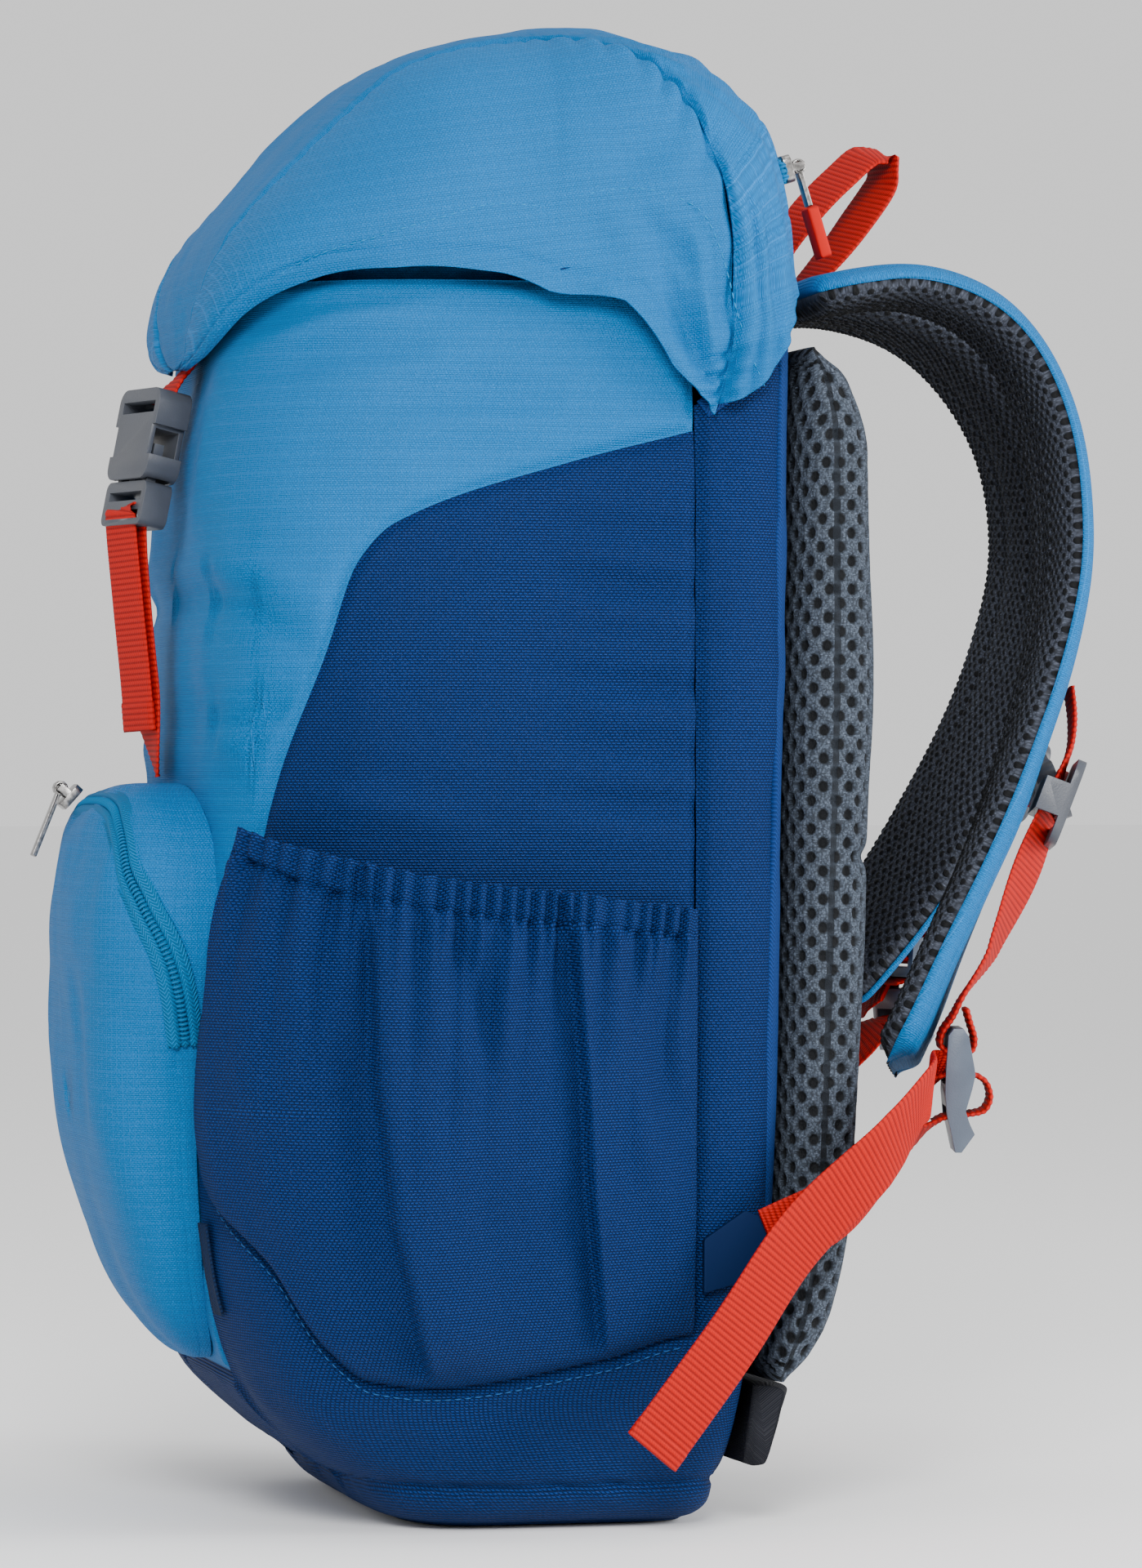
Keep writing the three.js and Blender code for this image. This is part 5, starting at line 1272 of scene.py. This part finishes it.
def rail_path(harness, spacing):
    """The red rail down the strap's face, then round the ladder lock's top bar and back up."""
    upper = rail_point(harness, np.linspace(RAIL_TOP, RAIL_FOOT, 12))
    wrap = [(1.2, 27), (-1.4, 21.5), (-4.6, 17), (-5.2, 13.4), (-1.2, 10.8), (3.6, 11.4), (4.9, 15),
            (3.6, 19.5), (2.4, 24)]
    curve = softened(route(np.vstack([upper, [lock_point(harness, *bend) for bend in wrap]])), 0.02)
    last_upper = (len(upper) - 1) / (len(upper) + len(wrap) - 1)

    def across(t):
        on_strap = strap_turn(lerp(RAIL_TOP, RAIL_FOOT, np.minimum(t / last_upper, 1)))
        degrees = lerp(on_strap, LOCK_TURN, step(last_upper * 1.0, last_upper * 1.12, t))
        return turned(-harness["side"] * (degrees + RAIL_TWIST * dip(t / last_upper - 0.62, 0.3)))

    return Path(curve, across, spacing)


def adjuster_curves(harness):
    """The lower webbing from the tab up to the lock, its turn round the lock's bar, and its free end."""
    side, (x, y, z), anchor = harness["side"], harness["lock"], harness["anchor"]

    def towards(u, v):
        return lerp(y, anchor[1], u), lerp(z, anchor[2], v)

    lower = route([(side * 107.4, *towards(0.86, 0.92)), (side * 102, *towards(0.6, 0.72)),
                   (x + side * 18, *towards(0.36, 0.46)), (x + side, y - 14, z - 14), (x, y - 7, z - 9)])
    bends = [(-7, -9), (-3.5, -7.2), (2.4, -6.6), (7.4, -5.6), (9.4, -1.4), (8, 3), (3, 5.2), (-2, 5),
             (-7, 4.2)]
    turn = route([lock_point(harness, *bend) for bend in bends])
    tail = route([lock_point(harness, -4.5, 4.6), (x + side * 4, y - 9, z + 3),
                  (side * 93, y - 16, z + 1), (side * 109, lerp(y, 40, 0.6), lerp(z, 84, 0.45)),
                  (side * 112.5, 40, 84), (side * 115, 20, 56), (side * 117, -4, 25)])
    return lower, turn, tail


# ---------------------------------------------------------------- assembly
def bevelled(node_name, material, width, segments=3, angle=32):
    """Keeps a CAD solid, rounds its edges and gives it a moulded finish."""
    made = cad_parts[node_name]
    made.data.materials.clear()
    made.data.materials.append(material)
    weld = made.modifiers.new("weld", "WELD")
    weld.merge_threshold = 0.00001
    rounding = made.modifiers.new("rounding", "BEVEL")
    rounding.width = width * MM
    rounding.segments = segments
    rounding.limit_method = "ANGLE"
    rounding.angle_limit = math.radians(angle)
    rounding.harden_normals = True
    made.data.polygons.foreach_set("use_smooth", [True] * len(made.data.polygons))


CAMERA_LENS, CAMERA_SENSOR = 147.5, 36  # mm
CAMERA_AZIMUTH = math.radians(77)  # from straight in front, round to the wearer's right
CAMERA_DISTANCE = 1.9
CAMERA_AIM = Vector((0, SHIFT_Y * MM, 0.2107))


def make_camera():
    data = bpy.data.cameras.new("camera")
    data.lens = CAMERA_LENS
    data.sensor_width = CAMERA_SENSOR
    camera = bpy.data.objects.new("camera", data)
    back = Vector((math.sin(CAMERA_AZIMUTH), -math.cos(CAMERA_AZIMUTH), 0))
    camera.location = CAMERA_AIM + back * CAMERA_DISTANCE
    camera.rotation_mode = "QUATERNION"
    camera.rotation_quaternion = (-back).to_track_quat("-Z", "Y")
    data.clip_start, data.clip_end = 0.05, 60
    bpy.context.scene.collection.objects.link(camera)
    bpy.context.scene.camera = camera


def area_light(name, location, aim, size, power):
    data = bpy.data.lights.new(name, "AREA")
    data.shape = "RECTANGLE"
    data.size, data.size_y = size
    data.energy = power
    made = bpy.data.objects.new(name, data)
    made.location = location
    made.rotation_mode = "QUATERNION"
    made.rotation_quaternion = (Vector(aim) - Vector(location)).to_track_quat("-Z", "Y")
    bpy.context.scene.collection.objects.link(made)


FLOOR_HALF = 30.0


def make_studio():
    world = bpy.data.worlds.new("studio")
    bpy.context.scene.world = world
    world.use_nodes = True
    background = world.node_tree.nodes["Background"]
    background.inputs[0].default_value = (1, 1, 1, 1)
    background.inputs[1].default_value = 1.0
    area_light("key", (1.6, -0.45, 0.95), (0, 0, 0.2), (0.55, 0.55), 38)
    area_light("top", (0.2, 0.2, 1.9), (0, 0, 0.2), (0.9, 0.9), 5)
    area_light("rear", (0.75, 1.5, 0.55), (0, 0.05, 0.2), (0.7, 0.9), 34)
    floor_mesh = bpy.data.meshes.new("floor")
    corners = [(x * FLOOR_HALF, y * FLOOR_HALF, 0) for x, y in ((-1, -1), (1, -1), (1, 1), (-1, 1))]
    floor_mesh.from_pydata(corners, [], [(0, 1, 2, 3)])
    floor = bpy.data.objects.new("floor", floor_mesh)
    floor.location.z = -0.0006  # just below the base, so that the two never share a plane
    paint, _, surface = start_material("pale_floor", 0.9, specular=0.1)
    surface.inputs["Base Color"].default_value = (0.93, 0.93, 0.93, 1)
    floor_mesh.materials.append(paint)
    bpy.context.scene.collection.objects.link(floor)


def rim(k):
    return np.full(np.shape(k), float(RIM_Z))


def build_body(canvas, cyan):
    """The compartment's wall: front, side and rear panels, pockets, base and back."""
    wall_cloth("front_panel_cloth", cyan, (-0.997, 0.997, front_bottom, rim), front_folds,
               "cyan_ripstop", ["front_panel"], 300, 190)
    for side, tag in SIDES:
        span = (K_TIP + 0.012, 0.9985) if side > 0 else (-0.9985, -K_TIP - 0.012)
        wall_cloth(f"side_panel_cloth_{tag}", canvas, (*span, base_top, panel_top), side_folds,
                   "navy_canvas", [f"side_panel_{tag}"], 120, 190)
        span = (1.0015, 1.998) if side > 0 else (-1.998, -1.0015)
        wall_cloth(f"rear_gusset_cloth_{tag}", canvas, (*span, base_top, gusset_top), gusset_folds,
                   "navy_canvas", [f"rear_gusset_{tag}"], 40, 200)
        pocket_cloth(f"side_pocket_cloth_{tag}", side, canvas)
    base_cloth(canvas)
    points_k = np.linspace(2.0, 4.0, 121)[None, :]
    z = np.linspace(49, 341, 150)[:, None]
    k, z = np.broadcast_arrays(points_k, z)
    points = body_point(k, z)
    height = 0.8 * noise(body_arc(k, z), z, 30, 91) + 0.4 * noise(body_arc(k, z), z, 12, 92)
    outer = points + normals_of(points) * height[..., None]
    made = cloth("back_panel_cloth", outer, canvas, (body_arc(k, z), z))
    place(made, "root", ["back_panel"], "navy_canvas")


def body_seam_stitches(thread):
    """Rows of stitches a few millimetres from the seams of the compartment's wall."""
    rows = []
    for side, tag in SIDES:
        for start, end, count in ((K_TIP + 0.02, 0.985, 400), (1.02, 1.97, 120)):
            k = side * np.linspace(start, end, count)
            z = base_top(np.abs(k)) - 3.4
            normal = body_normal(k, z)
            rows.append(stitches(f"{tag}_{count}", body_point(k, z) + normal * 0.3, normal, thread))
    made = join("base_seam_stitches", rows)
    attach(made, "root")


def gusset_edging(binding):
    """Herringbone tape over the top of the gusset and down the rear edge, beside the back pad."""
    for side, tag in SIDES:

        def rear_edge(t, side=side):
            z = lerp(56, 338, t)
            return body_line(side * (1.93 + 0.02 * noise(z, z * 0, 30, 95)), z)

        t, s = even_line(rear_edge, 0, 1, 1.4)
        offsets = np.linspace(-3.6, 3.6, 13)
        lifts = 1.5 - 0.9 * np.abs(offsets / 3.6) ** 4
        ripple = 0.7 * noise(s[None], offsets[:, None] * 0.4, 17, 96) * (offsets[:, None] / 3.6)
        lifts = lifts[:, None] + ripple
        made = edge_strip(f"rear_edge_binding_{tag}", rear_edge, t, s, offsets, lifts, 0.8, binding)
        place(made, "root", [f"back_binding_{tag}"], "navy_binding")

        def top_edge(t, side=side):
            k = lerp(1.06, 1.97, t)
            return body_line(side * k, gusset_top(k) - 2.6)

        t, s = even_line(top_edge, 0, 1, 0.8)
        offsets = np.linspace(-2.8, 2.8, 9)
        lifts = np.broadcast_to((1.5 - 0.8 * np.abs(offsets / 2.8) ** 4)[:, None], (9, len(t)))
        made = edge_strip(f"gusset_top_tape_{tag}", top_edge, t, s, offsets, lifts, 0.8, binding)
        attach(made, "root")


def build_front_pocket(cyan, tape, label_cloth):
    front_pocket_cloth(cyan)
    zip_tape("front_zip_tape_cloth", front_zip_line, (4, 176), 5.2, 0.5, tape, ["front_zip_tape"])
    zip_coil("front_zip_teeth", front_zip_line, (5, 175), 1.0, tape, ["front_zip_coil"])
    z, across = np.meshgrid(np.linspace(61, 87, 14), np.linspace(0, 1, 6), indexing="ij")
    x = 62.5 + 6.5 * across
    points = np.stack([x, front_skin(x, z) - 2.3 + 0.5 * np.sin(PI * across), z], axis=-1)
    made = cloth("blank_label_tab", points, label_cloth, (x, z), 0.8)
    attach(made, "root")


def build_harness(mesh, cyan, red, lock_grey, plastic, canvas):
    for tag, harness in HARNESS.items():
        side = harness["side"]
        pad = strap_layer(f"strap_pad_mesh_{tag}", harness, -0.6, -6.4, 0.6, mesh, holes=True, spacing=0.75)
        place(pad, "root", [f"strap_pad_{tag}"], "grey_air_mesh")
        face = strap_layer(f"strap_face_cloth_{tag}", harness, -0.6, 4.9, 0.0, cyan, spacing=1.0)
        place(face, "root", [f"strap_face_{tag}"], "cyan_ripstop")
        rail = webbing(f"strap_rail_web_{tag}", rail_path(harness, WEB_SPACING), 20, 1.5, red)
        place(rail, "root", [f"strap_rail_{tag}"], "red_webbing")
        lower, turn, tail = adjuster_curves(harness)
        lean = math.tan(math.radians(LOCK_TURN))

        def lower_across(t, s=side, lean=lean):
            return np.stack([t, -s * lerp(0.35, lean, t), s * (1 - t)], axis=-1)

        def tail_across(t, s=side, lean=lean):
            turn_share = np.minimum(t * 2.2, 1)
            width = (lerp(1, 0.15, turn_share), -s * lean * (1 - turn_share), s * lerp(0.2, 1, t))
            return np.stack(width, axis=-1)

        web = webbing(f"lower_web_{tag}", Path(softened(lower), lower_across, WEB_SPACING), 19, 1.5, red)
        place(web, "root", [f"lower_webbing_{tag}"], "red_webbing")
        loop = Path(softened(turn), straight_across(*turned(-side * LOCK_TURN)), WEB_SPACING)
        made = webbing(f"adjuster_turn_{tag}", loop, 19, 1.4, red)
        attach(made, "root")
        end = Path(softened(tail), tail_across, WEB_SPACING)
        end = webbing(f"tail_web_{tag}", end, 19.5, 1.5, red, hem=6)
        place(end, "root", [f"strap_tail_{tag}"], "red_webbing")
        bevelled(f"ladder_lock_{tag}", lock_grey, 0.9)
        bevelled(f"sternum_slider_{tag}", plastic, 0.7)
        bevelled(f"anchor_tab_{tag}", canvas, 0.5)


def build_front_strap(red, plastic):
    bevelled("buckle_socket", plastic, 0.7)
    bevelled("buckle_prongs", plastic, 0.6)
    strap = route([(0, -123.6, 213), (0, -127.2, 236), (0, -129.9, 262), (0, -131.2, 280), (0, -131.4, 288)])
    foot_turn = smooth([(0, -10), (0.3, BUCKLE_TURN), (1, BUCKLE_TURN)])
    path = Path(strap, lambda t: turned(foot_turn(t)), WEB_SPACING)
    made = webbing("front_strap_web", path, 20, 1.3, red)
    place(made, "front_strap", ["front_strap"], "red_webbing")
    flat = straight_across(*turned(BUCKLE_TURN))
    tail = route([(0, -131.3, 286), (0, -131.9, 290), (0, -133.4, 291.2), (0, -134.6, 289), (0, -134.2, 283),
                  (0, -132.2, 262), (0, -130.1, 241), (0, -128.8, 226)])
    made = webbing("front_tail_web", Path(tail, flat, WEB_SPACING), 20, 1.3, red, hem=9)
    place(made, "front_strap", ["front_strap_tail"], "red_webbing")
    tab = route([(0, -112.4, 341), (0, -113.4, 334), (0, -117.4, 328.6), (0, -120.4, 325), (0, -122.6, 321)])
    path = Path(tab, lambda t: turned(BUCKLE_TURN * np.maximum(0, 2 * t - 1)), WEB_SPACING)
    place(webbing("lid_tab_web", path, 17.5, 1.4, red), "lid", ["lid_tab"], "red_webbing")


def build_haul_loop(red):
    loop = route([(0, 56.5, 351), (0, 62, 366), (0, 70.5, 379.5), (0, 82, 391.5), (0, 91, 398.6),
                  (0, 96, 398), (0, 95.5, 391.5), (0, 87, 378), (0, 74, 362), (0, 60.5, 350)])
    loop = softened(loop, 0.02)
    lean = smooth([(0, 0), (0.25, 1), (0.75, 1), (1, 0)])

    def across(t):
        return np.stack([1 + 0 * t, 0.16 * lean(t), -0.32 * lean(t)], axis=-1)

    made = webbing("haul_loop_web", Path(loop, across, WEB_SPACING), 20, 1.7, red)
    place(made, "haul_loop", ["haul_loop"], "red_webbing")


STERNUM_LIFT = np.array([0, 4.8, 0])  # the web stands this far off the line between its sliders


def build_sternum(red, plastic):
    """The web between the sliders on the two rails, and its buckle."""
    ends = [rail_point(HARNESS[tag], np.array([at]))[0] for tag, at in (("right", 0.7), ("left", 0.705))]
    middle = (ends[0] + ends[1]) / 2
    turn = unit(ends[0] - ends[1])
    axis = unit(np.array([0, -0.37, -0.929]))
    for side, tag in SIDES:

        def curve(t, side=side):
            return middle + turn * (side * lerp(58, 20, t))[..., None] + STERNUM_LIFT

        path = Path(curve, straight_across(*axis), WEB_SPACING)
        path.face = np.cross(path.ahead, path.side)
        made = webbing(f"sternum_web_cloth_{tag}", path, 15, 1.4, red)
        place(made, "sternum_strap", [f"sternum_web_{tag}"], "red_webbing")
    bevelled("sternum_socket", plastic, 0.6)
    bevelled("sternum_prongs", plastic, 0.5)


def build_collar(cyan, canvas):
    def ring(height, count):
        spread = smooth([(0, 1), (12, 0.93), (24, 0.84)])(height)
        k = -3 + 6 * np.arange(count) / count
        points = body_point(k, np.full(count, RIM_Z - 3.0))
        middle = np.array([0, -32, 0])
        arc = body_arc(k, np.full(count, RIM_Z - 3.0))
        flat = points * (1, 1, 0) - middle
        uneven = 0.006 * noise(arc, arc * 0 + height, 9, 97)
        gather = 1 + 0.012 * step(2, 20, height) * np.sin(arc / 2.2) + uneven
        made = flat * (spread * 0.955) * gather[:, None] + middle
        made[:, 2] = RIM_Z - 10 + height
        return made, arc

    for name, low, high, material, node_name, slot, thick in (
        ("collar_cloth", 0, 22, cyan, "collar", "cyan_ripstop", 1.2),
        ("collar_hem_cloth", 22.2, 28.5, canvas, "collar_hem", "navy_canvas", 2.6),
    ):
        heights = np.linspace(low, high, 14)
        rings = [ring(h, 480) for h in heights]
        outer = np.stack([r[0] for r in rings])
        arc = np.stack([r[1] for r in rings])
        made = cloth(name, outer, material, (arc, outer[..., 2]), thick, wrap=True)
        place(made, "root", [node_name], slot)


def build_lining(canvas):
    degrees = np.linspace(50, 118, 60)[:, None]
    turn = np.radians(np.linspace(142, 38, 90))[None, :]
    degrees, turn = np.broadcast_arrays(degrees, turn)
    points = lid_point(degrees, turn)
    normal = unit(np.cross(np.gradient(points, axis=0), -np.gradient(points, axis=1)))
    slack = 1.2 * noise(points[..., 0] + 200, degrees * 1.8, 24, 98)
    points = points - normal * 15.5 + normal * slack[..., None]
    made = cloth("lid_lining_cloth", points, canvas, None, 1.0)
    place(made, "lid", ["lid_lining"], "navy_canvas")


def build_cuff(black):
    x = np.linspace(-86, 86, 120)
    profile = [(29.8, 18), (34, 17.2), (38, 17.6), (42.5, 26), (46.2, 34), (47.2, 37.5), (44, 39.4),
               (34.4, 40)]
    fine = np.linspace(0, 1, 40)
    y, z = route(profile)(fine).T
    short = 1 - 0.28 * step(70, 86, np.abs(x))
    yy = 31 + (y[None] - 31) * short[:, None] + 0.5 * noise(x[:, None], z[None], 12, 99)
    xx = np.broadcast_to(x[:, None], yy.shape)
    rings = np.stack([xx, yy, np.broadcast_to(z[None], yy.shape)], axis=-1)
    uv = np.stack([xx, np.broadcast_to(fine[None] * 34, yy.shape)], axis=-1)
    made = rings_mesh("back_cuff_cloth", rings, black, uv)
    place(made, "root", ["back_cuff"], "black_canvas")


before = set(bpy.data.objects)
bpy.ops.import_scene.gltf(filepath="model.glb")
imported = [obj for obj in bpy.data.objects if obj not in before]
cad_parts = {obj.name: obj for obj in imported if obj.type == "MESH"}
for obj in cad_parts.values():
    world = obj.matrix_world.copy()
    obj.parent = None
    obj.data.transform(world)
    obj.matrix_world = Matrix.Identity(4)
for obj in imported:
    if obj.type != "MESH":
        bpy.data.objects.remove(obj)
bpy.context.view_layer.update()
make_camera()
make_studio()

cyan_cloth = woven("cyan ripstop", CYAN, (0.9, 0.6), 0.62, 0.12, 0.3, grid=1.6)
navy_cloth = woven("navy canvas", NAVY, (1.35, 0.8), 0.72, 0.55, 0.85)
black_cloth = woven("black canvas", (0.012, 0.013, 0.018), (1.1, 0.7), 0.75, 0.2, 0.4)
navy_tape = knitted_tape("navy herringbone", (0.001, 0.024, 0.12), 2.4)
label_tape = knitted_tape("label tape", (0.001, 0.01, 0.04), 3.2)
cyan_tape = knitted_tape("zip tape", (0.0, 0.11, 0.27), 1.3)
red_web = webbing_material("red webbing", RED)
pad_mesh = air_mesh("air mesh of the back", MESH_GREY, PAD_PITCH, PAD_HOLE)
strap_mesh = air_mesh("air mesh of the straps", STRAP_GREY, STRAP_PITCH, STRAP_HOLE)
grey_plastic = moulded("grey nylon", PLASTIC)
lock_plastic = moulded("pale grey nylon", LOCK_GREY, 0.38)
steel = gunmetal("gunmetal", (0.32, 0.31, 0.3))
foam = woven("foam", (0.2, 0.22, 0.25), (0.8, 0.8), 0.9, 0.1, 0.2)
cyan_thread = thread_material("cyan thread", (0.0, 0.16, 0.38))
navy_thread = thread_material("navy thread", (0.006, 0.06, 0.2))

build_body(navy_cloth, cyan_cloth)
body_seam_stitches(navy_thread)
gusset_edging(navy_tape)
build_front_pocket(cyan_cloth, cyan_tape, label_tape)
build_lid(cyan_cloth, navy_tape, cyan_thread)
zip_tape("lid_zip_tape_cloth", lid_zip_line, (-78, 78), 3.6, 0.9, cyan_tape, ["lid_zip_tape"])
zip_coil("lid_zip_teeth", lid_zip_line, (-74, 74), 1.5, cyan_tape, ["lid_zip_coil"], 1.2)
build_lining(navy_cloth)
build_collar(cyan_cloth, navy_cloth)
build_cuff(black_cloth)
for pad_side, pad_tag in SIDES:
    back_pad(pad_side, pad_tag, pad_mesh)
build_harness(strap_mesh, cyan_cloth, red_web, lock_plastic, grey_plastic, navy_cloth)
build_front_strap(red_web, grey_plastic)
build_haul_loop(red_web)
build_sternum(red_web, grey_plastic)
for steel_node in ("lid_zip_slider", "lid_zip_puller", "front_zip_slider", "front_zip_puller"):
    bevelled(steel_node, steel, 0.35, 3)
bevelled("lid_pull_tab", red_web, 0.8, 4)
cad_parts["back_foam"].data.materials.clear()
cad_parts["back_foam"].data.materials.append(foam)
